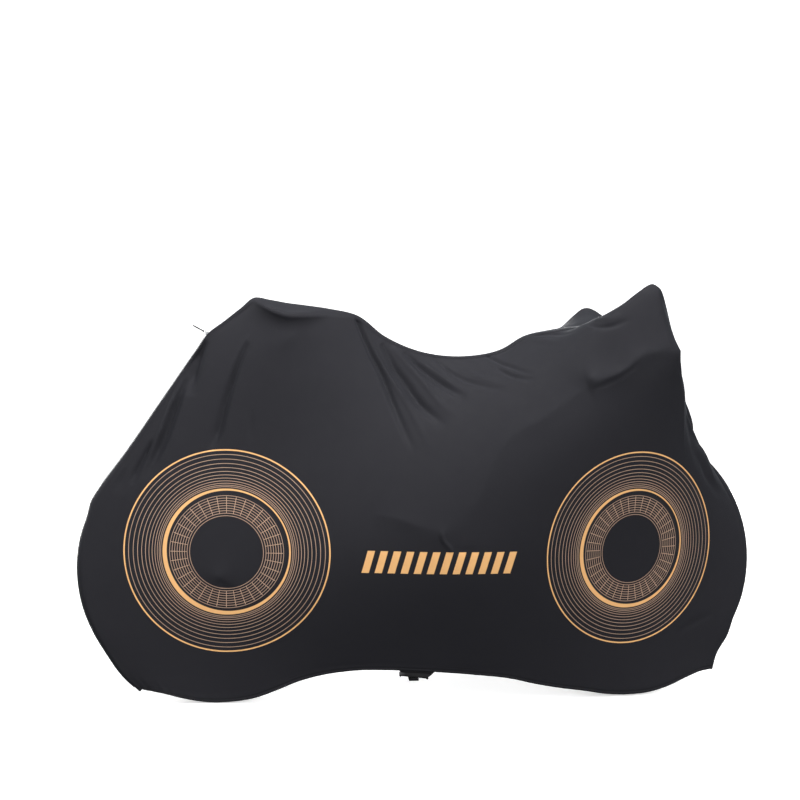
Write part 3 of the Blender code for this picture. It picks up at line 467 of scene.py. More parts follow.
# ==== the look ==========================================================================================
CREASES = (
    # Folds laid on the taut cloth. points: where the fold runs, in px of the 800 px view. width: half of its
    # width in px. height: in mm, + ridge, - trough. start: 1 where its first point is its sharp end, 0 where it fades
    # in. soft: 2 for a rounded fold, 1 for a ridge with an edge. end: as start, for the last point, 0 where it is left
    # out.
    # name            points                                                                   width height start soft end
    ("rear_1",       ((205, 340), (199.5, 353), (195.5, 366), (192, 380), (188.5, 396)),       5.0, -14.0,  0.4,  1.9, 0.2),
    ("rear_2",       ((186, 378), (180, 394), (174.5, 409), (168, 427), (160.5, 446), (154, 461), (145, 480)), 3.6, -11.0, 0.4, 1.9, 0.3),
    ("rear_2b",      ((183, 378), (177, 392), (170, 407), (163, 425), (155.5, 444), (149, 459)), 2.2,   7.0,  0.4,  1.8, 0.3),
    ("rear_3",       ((152, 440), (146, 453), (139.5, 466), (130, 486)),                   2.6,  -8.5,  0.5,  2.0, 0.3),
    ("rear_4",       ((126, 468), (119, 482), (113, 492)),                                     2.3,  -4.0,  0.2,  2.0),
    ("rear_5",       ((248, 342), (240.5, 357), (234.5, 372), (230, 386), (225, 403), (219, 427), (211, 452)), 3.6, -12.0, 0.3, 1.8, 0.6),
    ("rear_5b",      ((250, 334), (239, 352), (232, 369), (226, 388), (221, 404)),             1.9,   3.2,  0.2,  2.0),
    ("rear_6",       ((252, 408), (251, 428), (250, 446)),                                     2.5,  -2.2,  0.0,  2.0),
    ("fan_1",        ((356, 314), (359, 323), (363, 333), (368, 344.5), (374, 358.5), (379.5, 369), (385.5, 383.5), (390.5, 396.5), (397, 413), (405.5, 433), (416, 455)), 2.5, -10.5, 0.9, 1.7, 0.1),
    ("fan_1b",       ((362, 326), (376, 353), (387, 373), (399, 391), (411, 411), (423, 434), (433, 452)), 2.6, 4.0, 0.5, 2.0),
    ("fan_1c",       ((371, 338), (381, 356), (391, 371), (401, 388), (410, 403)),             1.4,  -2.6,  0.3,  2.0),
    ("fan_2",        ((382, 343), (388, 354), (396, 369), (406, 383), (415, 397), (423, 407), (432, 415), (446, 426)), 4.0, -15.0, 0.4, 1.6, 0.3),
    ("fan_2b",       ((392, 346), (406, 363), (416, 374), (427, 387), (436, 398), (447, 409), (460, 418)), 3.2, 5.0, 0.4, 2.0),
    ("fan_3",        ((404, 352), (411, 358), (419, 366), (432, 377), (443, 385), (453, 391), (466, 398)), 2.8, -10.0, 0.5, 1.7, 0.3),
    ("fan_3b",       ((420, 361), (437, 373), (448, 381), (461, 389), (474, 395)),             2.6,   3.4,  0.3,  2.0),
    ("fan_4",        ((432, 357), (443, 366), (452, 373), (465, 380), (474, 383), (492, 388), (508, 390)), 2.0, -5.2, 0.5, 2.0),
    ("fan_4b",       ((456, 368), (479, 377), (496, 382), (510, 386)),                         2.6,   2.6,  0.2,  2.0),
    ("bar_1",        ((484, 355), (494, 359.5), (503, 364), (512, 367), (522, 371), (534, 374)), 1.5, -5.0,  0.6,  2.0),
    ("bar_1b",       ((490, 365), (506, 370.5), (522, 375)),                                   1.6,   1.0,  0.2,  2.0),
    ("bar_2",        ((494, 366), (501, 370.5), (512, 376), (522, 378.5), (536, 380)),          1.7,  -5.2,  0.4,  2.0),
    ("side_1",       ((372, 514), (402, 520), (418, 526), (442, 533)),                         9.0,   5.5,  0.0,  1.0),
    ("side_2",       ((442, 530), (443, 540), (449, 547), (455, 556)),                         1.6,   4.6,  0.6,  2.0),
    ("side_3",       ((452, 551), (468, 551), (484, 551)),                                     2.0,  -2.0,  0.3,  2.0),
    ("slope_1",      ((597, 382), (566, 402), (545, 418), (515, 435), (497, 458), (480, 498), (448, 533)), 15.0, 6.5, 0.5, 1.1),
    ("end_2",        ((594, 388), (598, 387.5), (606, 384), (616, 379.5), (625, 373.5), (634, 366.5), (641, 359)), 1.6, -4.0, 0.6, 2.0),
    ("end_3",        ((588, 385), (597, 382.5), (607, 378), (618, 373.5), (627, 368), (635, 360), (644, 354), (658, 350.5), (682, 350)), 12.0, 16.0, 0.38, 1.0),
    ("shoulder_1",   ((586, 324), (600, 327), (612, 326), (622, 322.5), (633, 319)),           1.7,  -5.5,  0.2,  2.0),
    ("shoulder_1b",  ((586, 319), (600, 320), (612, 318), (624, 314)),                         2.3,   3.4,  0.2,  2.0),
    ("shoulder_2",   ((524, 337), (537, 335), (549, 334), (565, 334), (578, 330)),             1.3,  -3.0,  0.2,  2.0),
    ("shoulder_3",   ((532, 340), (548, 341), (562, 341)),                                     3.0,   2.4,  0.0,  2.0),
    ("corner_1",     ((680, 362), (682, 400), (682, 422), (683, 446), (685, 470)),             2.6,   6.0,  0.4,  1.1),
    ("corner_2",     ((685, 388), (687.5, 420), (691, 438), (696, 458), (704, 480)),           2.4,  -3.0,  0.4,  2.0),
    ("corner_3",     ((682.5, 378), (689, 407), (692.5, 422), (696, 436), (700, 448), (707, 459), (714, 468), (720, 477), (726, 486)), 3.4, 5.5, 0.1, 2.0),
    ("front_1",      ((698, 446), (704, 460), (709, 471), (714.5, 481), (723, 489)),       3.0,   8.0,  0.5,  1.1),
    ("front_2",      ((696, 452), (702, 464), (708, 478), (716, 490), (724, 500)),             3.2,  -6.0,  0.3,  2.0),
    ("front_3",      ((672, 636), (686, 627), (699, 620), (719, 611)),                         2.2,  -2.2,  0.0,  2.0),
    ("hub_2",        ((219, 581), (226, 587), (238, 594)),                                     3.5,  -2.6,  0.6,  2.0),
    ("crown_1",      ((250, 298), (257, 303), (266, 308), (276, 312.5), (288, 315), (301, 315), (318, 312), (345, 308)), 6.2, 7.0, 0.4, 1.0),
)
BUMPS = (
    # where something inside presses a point outward: its place in px, the width and height as above, and how soft
    # name        place        width  height  soft
    ("end_ball",  (593.0, 378.5), 5.0,  7.5,    1.1),
    ("end_cone",  (590.0, 373.0), 15.0, 6.0,    2.0),
    ("spur_tip",  (680, 351),  4.0,   5.0,    1.0),
    ("spur_ball", (654, 354),  1.6,   1.2,    2.0),
    ("side_ball", (443, 533),  9.0,   5.0,    1.0),
    ("hub_ball",  (219, 576), 13.0,   9.0,    1.0),
    ("dot_1",     (124, 496),  3.0,   1.6,    2.0),
    ("dot_2",     (386, 437),  1.4,   0.9,    2.0),
)
PRINT_DISCS = (
    # name     x       z       across  up         centre in layout metres, and how much each way is drawn out
    ("rear",   0.014,  0.386,  1.00,   1.00),
    ("front",  0.995,  0.392,  0.885,  0.985),
)
DISC_R = 0.247                       # outer radius
INNER_RINGS = (0.088, 0.140, 0.0060)   # thin rings: from, to, pitch
OUTER_RINGS = (0.156, 0.2465, 12, 0.62)  # thin rings that spread outward: from, to, how many, how evenly
RING_LINE = 0.0013                   # width of a thin ring
CRESCENT = (0.153, 0.146, 0.0030, 0.0022)  # outer and inner radius of the bold band, and how far its hole is off centre
RIM_LINE = 0.0034
TICKS = (36, 0.094, 0.134)           # radial ticks: how many, from, to
BARS = (0.334, 0.701, 0.343, 0.397)      # the place of the band of slanted bars: x from, to, z from, to
BAR_COUNT, BAR_SHARE, BAR_SLANT = 12, 0.56, 0.26

VIEW_FROM = (-0.1583, -4.2224, 0.0195)   # the camera, in the row frame
VIEW_YAW, VIEW_PITCH, VIEW_ROLL = math.radians(5.8192), math.radians(3.4054), math.radians(0.40)
VIEW_F = 1734.4                          # focal length in px of an 800 px picture


def camera_axes():
    ahead_flat = np.array([math.sin(VIEW_YAW), math.cos(VIEW_YAW), 0.0])
    right = np.array([math.cos(VIEW_YAW), -math.sin(VIEW_YAW), 0.0])
    ahead = ahead_flat * math.cos(VIEW_PITCH) + np.array([0, 0, -math.sin(VIEW_PITCH)])
    up = np.cross(right, ahead)
    return (right * math.cos(VIEW_ROLL) + up * math.sin(VIEW_ROLL),
            -right * math.sin(VIEW_ROLL) + up * math.cos(VIEW_ROLL), ahead)


def in_view(points):
    right, up, ahead = camera_axes()
    q = np.asarray(points) - np.array(VIEW_FROM)
    far = q @ ahead
    return np.stack([400 + VIEW_F * (q @ right) / far, 400 - VIEW_F * (q @ up) / far], -1)


def fold_height(view, folds, bumps):
    """the folds' height in metres at each point of the view"""
    out = np.zeros(view.shape[:-1])
    for name, line, width, height, start, soft, *end in folds:
        line = np.array(line, float)
        length = chord(line)
        dense = spline(length, line, np.linspace(0, length[-1], max(8, int(length[-1] / 3))))
        reach = width * (3.0 if soft > 1.4 else 6.0)
        low, high = dense.min(0) - reach, dense.max(0) + reach
        near = np.all((view > low) & (view < high), axis=-1)
        p = view[near]
        best = np.full(len(p), 1e9)
        share = np.zeros(len(p))
        for k in range(len(dense) - 1):
            a, b = dense[k], dense[k + 1]
            t = np.clip(((p - a) @ (b - a)) / max((b - a) @ (b - a), 1e-9), 0, 1)
            d = np.linalg.norm(p - a - t[:, None] * (b - a), axis=1)
            closer = d < best
            best = np.where(closer, d, best)
            share = np.where(closer, (k + t) / (len(dense) - 1), share)
        opening = np.clip(share / max(0.5 * (1 - start), 0.04), 0, 1) ** 0.6
        closing = np.clip((1 - share) / (0.46 * (1 - sum(end))), 0, 1) ** 0.9
        narrow = width * (0.75 + 0.5 * share)
        far = np.sqrt((best / narrow) ** 2 + 0.01) if soft < 1.4 else best / narrow
        out[near] += 0.001 * height * opening * closing * np.exp(-far ** soft)
    for name, place, width, height, soft in bumps:
        far = np.linalg.norm(view - np.array(place, float), axis=-1) / width
        far = np.sqrt(far ** 2 + 0.01) if soft < 1.4 else far
        out += 0.001 * height * np.exp(-far ** soft)
    return out


def mesh_object(name, points, faces, smooth=True):
    mesh = bpy.data.meshes.new(name)
    mesh.from_pydata([tuple(p) for p in points], [], [tuple(int(k) for k in f) for f in faces])
    mesh.update()
    if smooth:
        mesh.polygons.foreach_set("use_smooth", np.ones(len(mesh.polygons), bool))
    thing = bpy.data.objects.new(name, mesh)
    bpy.context.scene.collection.objects.link(thing)
    return thing


def hem_wave(i_share, side):
    """how much the hem's elastic gathers the cloth along the hem: most at the two round ends"""
    x = i_share
    return 0.35 + 0.65 * np.clip(np.abs(x - 0.5) * 2.4 - 0.25, 0, 1)


def cloth_panel(name, side):
    """the panel as a single skin on its solid's outer face, with its seam allowance turned in along the crest and its hem
    turned up inside"""
    grid, fixed, outward = stretched(side)
    grid = grid - np.array(CROWN)
    n, m = FINE_U, FINE_V
    normal = side * np.cross(np.gradient(grid, axis=0), np.gradient(grid, axis=1))
    normal /= np.maximum(np.linalg.norm(normal, axis=-1, keepdims=True), 1e-12)
    for seam in (np.s_[0, :], np.s_[-1, :], np.s_[:, 0]):
        normal[seam] = outward[seam]
    i, j = np.meshgrid(np.arange(n + 1), np.arange(m + 1), indexing="ij")
    ring = np.minimum(np.minimum(i, n - i), j)
    inside = np.clip(ring / (1.05 * RINGS), 0, 1)
    inside = inside * inside * (3 - 2 * inside)
    lift = np.zeros(grid.shape[:2])
    if side < 0:
        lift += fold_height(in_view(grid), CREASES, BUMPS) * inside
    else:
        lift += far_folds(grid) * inside
    # slow unevenness of the cloth
    x, z = grid[..., 0], grid[..., 2]
    lift += inside * 0.0005 * (np.sin(9.0 * x + 5.2 * z + side) * np.sin(11.0 * z - 4.1 * x) + 0.6 * np.sin(23 * x - 17 * z + 2 * side) * np.sin(15 * z + 9 * x))
    # distance up the cloth from the hem
    up_way = np.zeros(grid.shape[:2])
    up_way[:, :-1] = np.cumsum(np.linalg.norm(np.diff(grid, axis=1), axis=2)[:, ::-1], axis=1)[:, ::-1]
    gather = hem_wave(i / n, side) * inside
    along = np.zeros(grid.shape[:2])
    along[1:] = np.cumsum(np.linalg.norm(np.diff(grid[:, m], axis=0), axis=1))[:, None]
    puff = np.exp(-(up_way / 0.040) ** 2) * gather
    uneven = 0.35 + 0.65 * np.sin(along * 7.3 + 1.1) ** 2 * np.sin(along * 2.9 + side) ** 2
    lift += 0.0006 * puff * uneven * (np.sin(2 * math.pi * along / 0.027 + 2.3 * np.sin(along * 19)) + 0.5 * np.sin(2 * math.pi * along / 0.016 + 2.6 * np.sin(along * 31)))
    # the hem band and the stitched line over it
    lift += inside * (0.0006 * np.exp(-((up_way - 0.009) / 0.006) ** 2) - 0.0006 * np.exp(-((up_way - 0.019) / 0.0022) ** 2))
    # the seam lies in a shallow groove
    lift -= 0.0004 * np.exp(-(ring / (0.30 * RINGS)) ** 2) * (up_way > -1)
    skin = grid + normal * lift[..., None]

    points = list(skin.reshape(-1, 3))
    number = np.arange((n + 1) * (m + 1)).reshape(n + 1, m + 1)
    a, b, c, d = number[:-1, :-1], number[1:, :-1], number[1:, 1:], number[:-1, 1:]
    quads = np.stack([a, b, c, d], -1).reshape(-1, 4)
    if side > 0:
        quads = quads[:, ::-1]
    quads = quads[:, ::-1]
    faces = [tuple(q) for q in quads]

    def strip(rows_of_points, first_row_index, turn):
        """adds rows of points beside a row that is there already"""
        last = list(first_row_index)
        for row in rows_of_points:
            start = len(points)
            points.extend(row)
            here = list(range(start, start + len(row)))
            for k in range(len(row) - 1):
                f = (last[k], last[k + 1], here[k + 1], here[k])
                faces.append(f if turn else f[::-1])
            last = here

    edge = [(0, q) for q in range(m, -1, -1)] + [(p, 0) for p in range(1, n + 1)] + [(n, q) for q in range(1, m + 1)]
    rows, cols = np.array([e[0] for e in edge]), np.array([e[1] for e in edge])
    top = skin[rows, cols]
    out = outward[rows, cols]
    start = len(points)
    points.extend(top)
    strip([top - out * depth for depth in (0.0020, 0.0055)], range(start, start + len(top)), side < 0)
    hem = skin[:, m]
    upward = skin[:, m - 1] - hem
    upward /= np.linalg.norm(upward, axis=1)[:, None]
    inward = -normal[:, m]
    inward = inward - upward * (inward * upward).sum(1)[:, None]
    inward /= np.linalg.norm(inward, axis=1)[:, None]
    width = np.minimum(1.0, np.abs(skin[:, m, 1] - middle(skin[:, m, 0] + CROWN[0])[0]) / 0.006)[:, None]
    fold = [hem - upward * 0.0006 + inward * 0.0005, hem - upward * 0.0003 + inward * 0.0013 * width, hem + upward * 0.0060 + inward * 0.0016 * width,
            hem + upward * 0.0170 + inward * 0.0013 * width]
    strip(fold, number[:, m], side > 0)
    thing = mesh_object(name, points, faces)
    way = np.full(len(points), 1.0)
    way[:(n + 1) * (m + 1)] = up_way.reshape(-1)
    way[-len(fold) * (n + 1):] = 0.0
    thing.data.attributes.new("hem_way", "FLOAT", "POINT").data.foreach_set("value", way)
    return thing, skin


def far_folds(grid):
    """a few broad soft folds on the side that the photograph hides"""
    x, z = grid[..., 0], grid[..., 2]
    out = np.zeros(x.shape)
    for x0, z0, x1, z1, wide, high in FAR_FOLDS:
        a, b = np.array([x0, z0]), np.array([x1, z1])
        p = np.stack([x, z], -1) - a
        t = np.clip((p @ (b - a)) / ((b - a) @ (b - a)), 0, 1)
        d = np.linalg.norm(p - t[..., None] * (b - a), axis=-1)
        taper = np.clip(4 * t * (1 - t), 0, 1) ** 0.6
        out += high * taper * np.exp(-(d / wide) ** 2)
    return out


FAR_FOLDS = (
    # x_from  z_from   x_to    z_to    width   height      row frame, metres
    (-0.190, -0.130,  -0.300, -0.400,  0.010, -0.0030),
    (-0.160, -0.130,  -0.250, -0.420,  0.012,  0.0028),
    (-0.060, -0.110,  -0.120, -0.380,  0.011, -0.0026),
    ( 0.180, -0.050,   0.330, -0.360,  0.011, -0.0034),
    ( 0.200, -0.070,   0.360, -0.330,  0.012,  0.0030),
    ( 0.230, -0.080,   0.420, -0.290,  0.010, -0.0030),
    ( 0.310, -0.120,   0.520, -0.230,  0.011, -0.0026),
    ( 0.640, -0.230,   0.780, -0.050,  0.012,  0.0024),
    ( 0.130, -0.790,   0.330, -0.690,  0.014, -0.0024),
)


# ---- materials --------------------------------------------------------------------------------------------
class Nodes:
    """short calls for building a node tree"""
    def __init__(self, name):
        self.material = bpy.data.materials.new(name)
        self.material.use_nodes = True
        self.tree = self.material.node_tree
        self.shader = self.tree.nodes["Principled BSDF"]

    def new(self, kind, **settings):
        node = self.tree.nodes.new(kind)
        for key, value in settings.items():
            setattr(node, key, value)
        return node

    def join(self, a, b):
        self.tree.links.new(a, b)

    def feed(self, socket, value):
        if isinstance(value, (int, float)):
            socket.default_value = value
        elif isinstance(value, tuple):
            socket.default_value = value
        else:
            self.join(value, socket)

    def math(self, op, a, b=0.0, c=None, clamp=False):
        node = self.new("ShaderNodeMath", operation=op, use_clamp=clamp)
        self.feed(node.inputs[0], a)
        self.feed(node.inputs[1], b)
        if c is not None:
            self.feed(node.inputs[2], c)
        return node.outputs[0]

    def line(self, value, centre, half, soft=0.0004):
        """1 within half of the centre, with a soft edge"""
        d = self.math("ABSOLUTE", self.math("SUBTRACT", value, centre))
        return self.math("DIVIDE", self.math("SUBTRACT", half + soft, d), 2 * soft, clamp=True)

    def mix(self, factor, a, b):
        node = self.new("ShaderNodeMix", data_type="RGBA")
        self.feed(node.inputs["Factor"], factor)
        self.feed(node.inputs[6], a)
        self.feed(node.inputs[7], b)
        return node.outputs[2]

    def place(self):
        coordinate = self.new("ShaderNodeTexCoord")
        split = self.new("ShaderNodeSeparateXYZ")
        self.join(coordinate.outputs["Object"], split.inputs[0])
        return coordinate.outputs["Object"], split.outputs[0], split.outputs[1], split.outputs[2]

    def noise(self, vector, scale, detail=3.0, rough=0.55):
        node = self.new("ShaderNodeTexNoise")
        self.join(vector, node.inputs["Vector"])
        node.inputs["Scale"].default_value = scale
        node.inputs["Detail"].default_value = detail
        node.inputs["Roughness"].default_value = rough
        return node.outputs["Fac"]

    def bump(self, height, strength, distance):
        node = self.new("ShaderNodeBump")
        self.join(height, node.inputs["Height"])
        node.inputs["Strength"].default_value = strength
        node.inputs["Distance"].default_value = distance
        self.join(node.outputs[0], self.shader.inputs["Normal"])


ORANGE = (0.690, 0.388, 0.158, 1.0)
TAN = (0.400, 0.270, 0.192, 1.0)


def knit(name, prints):
    k = Nodes(name)
    place, x, y, z = k.place()
    wale = 0.00115       # width of a column of stitches; a row is a little lower than that
    # columns of stitches along z and rows along x, each stitch a small v
    u = k.math("DIVIDE", x, wale)
    row = k.math("DIVIDE", z, wale * 0.8)
    tri = k.math("PINGPONG", u, 0.5)
    vee = k.math("ADD", row, k.math("MULTIPLY", tri, 1.5))
    ridge = k.math("PINGPONG", vee, 0.5)
    stitch = k.math("ADD", k.math("MULTIPLY", ridge, 1.0), k.math("MULTIPLY", tri, 0.9))
    fuzz = k.noise(place, 900.0, 2.0)
    slow = k.noise(place, 3.2, 3.0)
    mid = k.noise(place, 38.0, 4.0)
    height = k.math("ADD", k.math("MULTIPLY", stitch, 0.7), k.math("MULTIPLY", fuzz, 0.3))
    soft = k.math("MULTIPLY", mid, 2.0)
    k.bump(k.math("ADD", height, soft), 0.5, 0.00022)
    shade = k.math("ADD", k.math("MULTIPLY", slow, 0.5), k.math("MULTIPLY", mid, 0.25))
    shade = k.math("ADD", shade, k.math("MULTIPLY", stitch, 0.16))
    colour = k.mix(shade, CLOTH_DARK, CLOTH_LIGHT)
    if prints:
        lx, lz = k.math("ADD", x, CROWN[0]), k.math("ADD", z, CROWN[2])
        mark_bold, mark_thin = 0.0, 0.0
        for _, cx, cz, sx, sz in PRINT_DISCS:
            dx = k.math("DIVIDE", k.math("SUBTRACT", lx, cx), sx)
            dz = k.math("DIVIDE", k.math("SUBTRACT", lz, cz), sz)
            r = k.math("SQRT", k.math("ADD", k.math("MULTIPLY", dx, dx), k.math("MULTIPLY", dz, dz)))
            r0, r1, pitch = INNER_RINGS
            band = k.line(r, 0.5 * (r0 + r1), 0.5 * (r1 - r0) + 0.001)
            within = k.math("PINGPONG", k.math("SUBTRACT", r, r0), 0.5 * pitch)
            thin = k.math("MULTIPLY", band, k.line(within, 0.0, 0.5 * RING_LINE, 0.0003))
            r0, r1, count, even = OUTER_RINGS
            share = k.math("DIVIDE", k.math("SUBTRACT", r, r0), r1 - r0, clamp=True)
            phase = k.math("MULTIPLY", k.math("POWER", share, even), count)
            spacing = k.math("MULTIPLY", k.math("POWER", k.math("ADD", share, 0.01), 1 - even), (r1 - r0) / (count * even))
            within = k.math("MULTIPLY", k.math("PINGPONG", phase, 0.5), spacing)
            band = k.line(r, 0.5 * (r0 + r1), 0.5 * (r1 - r0))
            thin = k.math("MAXIMUM", thin, k.math("MULTIPLY", band, k.line(within, 0.0, 0.5 * RING_LINE, 0.0003)))
            count, r0, r1 = TICKS
            turn = k.math("MULTIPLY", k.math("ARCTAN2", dz, dx), count / (2 * math.pi))
            spoke = k.math("PINGPONG", turn, 0.5)
            tick = k.math("MULTIPLY", k.line(spoke, 0.0, 0.035, 0.012), k.line(r, 0.5 * (r0 + r1), 0.5 * (r1 - r0)))
            mark_thin = k.math("MAXIMUM", mark_thin, k.math("MAXIMUM", thin, tick))
            outer, inner, off_x, off_z = CRESCENT
            ex, ez = k.math("SUBTRACT", dx, off_x), k.math("SUBTRACT", dz, off_z)
            hole = k.math("SQRT", k.math("ADD", k.math("MULTIPLY", ex, ex), k.math("MULTIPLY", ez, ez)))
            crescent = k.math("MULTIPLY", k.line(r, 0.0, outer), k.math("SUBTRACT", 1.0, k.line(hole, 0.0, inner)))
            mark_bold = k.math("MAXIMUM", mark_bold, k.math("MAXIMUM", crescent, k.line(r, DISC_R - 0.5 * RIM_LINE, 0.5 * RIM_LINE)))
        x0, x1, z0, z1 = BARS
        pitch = (x1 - x0) / BAR_COUNT
        lean = k.math("SUBTRACT", lx, k.math("MULTIPLY", k.math("SUBTRACT", lz, z0), BAR_SLANT))
        lean = k.math("SUBTRACT", lean, x0 - 0.5 * pitch * (1 - BAR_SHARE))
        in_bar = k.math("MULTIPLY", k.math("FRACT", k.math("DIVIDE", lean, pitch)), pitch)
        bar = k.line(in_bar, 0.5 * pitch, 0.5 * pitch * BAR_SHARE)
        bar = k.math("MULTIPLY", bar, k.line(lean, 0.5 * pitch * BAR_COUNT, 0.5 * pitch * BAR_COUNT))
        bar = k.math("MULTIPLY", bar, k.line(lz, 0.5 * (z0 + z1), 0.5 * (z1 - z0)))
        mark_bold = k.math("MAXIMUM", mark_bold, bar)
        near = k.math("LESS_THAN", y, 0.0)
        worn = k.math("MULTIPLY", near, k.math("SUBTRACT", 1.0, k.math("MULTIPLY", mid, 0.14)))
        colour = k.mix(k.math("MULTIPLY", mark_thin, worn), colour, TAN)
        colour = k.mix(k.math("MULTIPLY", mark_bold, worn), colour, ORANGE)
    # the hem: painted shade on its turned edge, a painted highlight on the band over it, and painted shade along the
    # stitched line
    hem_way = k.new("ShaderNodeAttribute", attribute_name="hem_way").outputs["Fac"]
    colour = k.mix(k.math("MULTIPLY", k.line(hem_way, 0.0046, 0.0013, 0.0012), 0.70), colour, HEM_PAINTED_HIGHLIGHT)
    colour = k.mix(k.math("MULTIPLY", k.line(hem_way, 0.0, 0.0018, 0.0008), 0.90), colour, HEM_PAINTED_SHADE)
    colour = k.mix(k.math("MULTIPLY", k.line(hem_way, 0.0094, 0.0009, 0.0012), 0.75), colour, HEM_PAINTED_SHADE)
    k.join(colour, k.shader.inputs["Base Color"])
    rough = k.math("ADD", 0.66, k.math("MULTIPLY", mid, 0.16))
    k.join(rough, k.shader.inputs["Roughness"])
    k.shader.inputs["Specular IOR Level"].default_value = 0.17
    k.shader.inputs["Sheen Weight"].default_value = SHEEN
    k.shader.inputs["Sheen Roughness"].default_value = 0.42
    k.shader.inputs["Sheen Tint"].default_value = (0.80, 0.86, 0.95, 1.0)
    return k.material


CLOTH_DARK = (0.0072, 0.0072, 0.0096, 1.0)
CLOTH_LIGHT = (0.0122, 0.0120, 0.0154, 1.0)
# colours of the painted shade and the painted highlight along the hem
HEM_PAINTED_SHADE = (0.0015, 0.0015, 0.0018, 1.0)
HEM_PAINTED_HIGHLIGHT = (0.0240, 0.0242, 0.0275, 1.0)
SHEEN = 0.060


def webbing_look(name, along):
    """ribbed webbing; along is the axis that the ribs cross: 0 x, 1 y, 2 z"""
    k = Nodes(name)
    place, x, y, z = k.place()
    axis = (x, y, z)[along]
    other = (x, y, z)[(along + 1) % 3] if along != 1 else x
    rib = k.math("PINGPONG", k.math("DIVIDE", axis, 0.0013), 0.5)
    cross = k.math("PINGPONG", k.math("DIVIDE", other, 0.0018), 0.5)
    weave = k.math("ADD", rib, k.math("MULTIPLY", cross, 0.6))
    k.bump(weave, 0.6, 0.0003)
    k.join(k.mix(k.math("ADD", weave, k.math("MULTIPLY", k.noise(place, 300.0), 0.3)), (0.0025, 0.0025, 0.003, 1), (0.0075, 0.0075, 0.0085, 1)),
           k.shader.inputs["Base Color"])
    k.shader.inputs["Roughness"].default_value = 0.82
    k.shader.inputs["Specular IOR Level"].default_value = 0.10
    k.shader.inputs["Sheen Weight"].default_value = 0.02
    return k.material


def hard_look(name, dark, light, roughness, metallic, scale=260.0, grain=0.35):
    k = Nodes(name)
    place, x, y, z = k.place()
    speckle = k.noise(place, scale, 4.0)
    k.join(k.mix(speckle, dark, light), k.shader.inputs["Base Color"])
    k.join(k.math("ADD", roughness - 0.06, k.math("MULTIPLY", speckle, 0.14)), k.shader.inputs["Roughness"])
    k.shader.inputs["Metallic"].default_value = metallic
    k.bump(k.noise(place, scale * 6, 2.0), grain, 0.00006)
    return k.material


def plain_stage(name, colour):
    k = Nodes(name)
    place, x, y, z = k.place()
    cloud = k.noise(place, 0.7, 2.0)
    k.join(k.mix(cloud, tuple([c * 0.985 for c in colour[:3]]) + (1.0,), colour), k.shader.inputs["Base Color"])
    k.shader.inputs["Roughness"].default_value = 0.9
    k.shader.inputs["Specular IOR Level"].default_value = 0.1
    return k.material


def clean(thing, look):
    thing.data.materials.clear()
    thing.data.materials.append(look)


def look_of_node(node, look):
    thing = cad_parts[node]
    for slot in thing.material_slots:
        slot.link = "OBJECT"
        slot.material = look


# ---- the pieces -------------------------------------------------------------------------------------------
cloth_printed = knit("cloth_right", True)
cloth_plain = knit("cloth_left", False)
right, right_skin = cloth_panel("cloth_panel_right", -1)
left, left_skin = cloth_panel("cloth_panel_left", +1)
for thing, node, look in ((right, "panel_right", cloth_printed), (left, "panel_left", cloth_plain)):
    clean(thing, look)
    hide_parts(node)
    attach(thing, "root")

# the closed coil of the zip: short teeth from either side in turn, over two narrow tapes
rear = 0.5 * (right_skin[0, ::-1] + left_skin[0, ::-1])
rear_out = layout(-1)[2][0, ::-1]
rear_way = chord(rear)


def on_rear(s):
    return (np.array([np.interp(s, rear_way, rear[:, c]) for c in range(3)]),
            np.array([np.interp(s, rear_way, rear_out[:, c]) for c in range(3)]))


low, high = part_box("zip_slider")
slider_at = 0.5 * (np.array(low) + np.array(high))
flat_gap = np.linalg.norm(rear[:, [0, 2]] - (np.array(PULL_POINT) - np.array([CROWN[0], CROWN[2]])), axis=1)
zip_top = rear_way[int(np.argmin(flat_gap))] - 0.0056
points, faces = [], []
y_way = np.array([0.0, 1.0, 0.0])


def brick(centre, along, across, up, half):
    start = len(points)
    for sx in (-1, 1):
        for sy in (-1, 1):
            for sz in (-1, 1):
                taper = 0.72 if sz > 0 else 1.0
                points.append(centre + along * sx * half[0] * taper + across * sy * half[1] * (0.9 if sz > 0 else 1.0) + up * sz * half[2])
    for f in ((0, 1, 3, 2), (4, 6, 7, 5), (0, 4, 5, 1), (2, 3, 7, 6), (0, 2, 6, 4), (1, 5, 7, 3)):
        faces.append(tuple(start + q for q in f))


s, count = ZIP_FOOT, 0
while s < zip_top:
    at, out = on_rear(s)
    ahead = on_rear(s + 0.001)[0] - on_rear(s - 0.001)[0]
    ahead /= np.linalg.norm(ahead)
    out = out - ahead * (out @ ahead)
    out /= np.linalg.norm(out)
    hand = 1 if count % 2 else -1
    brick(at + out * (PIECE_GAP + 0.0009) + y_way * hand * 0.0006, ahead, y_way, out, (0.00062, 0.0017, 0.00055))
    s += 0.00145
    count += 1
coil = mesh_object("zip_coil", points, faces, smooth=False)
points, faces = [], []
tape_s = np.arange(ZIP_FOOT, zip_top, 0.006)
for k, s in enumerate(tape_s):
    at, out = on_rear(s)
    for across, up in ((-0.0026, 0.00005), (-0.0016, 0.0004), (0.0016, 0.0004), (0.0026, 0.00005)):
        points.append(at + y_way * across + out * (PIECE_GAP * 0.5 + up))
for k in range(len(tape_s) - 1):
    for q in range(3):
        faces.append((k * 4 + q, k * 4 + q + 1, k * 4 + q + 5, k * 4 + q + 4))
tape = mesh_object("zip_tape", points, faces)
zip_look = hard_look("zip_coil_black", (0.006, 0.006, 0.007, 1), (0.020, 0.020, 0.022, 1), 0.48, 0.0)
tape_look = webbing_look("zip_tape_black", 2)
clean(coil, zip_look)
clean(tape, tape_look)
for piece in (coil, tape):
    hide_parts("zip_chain")
    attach(piece, "root")


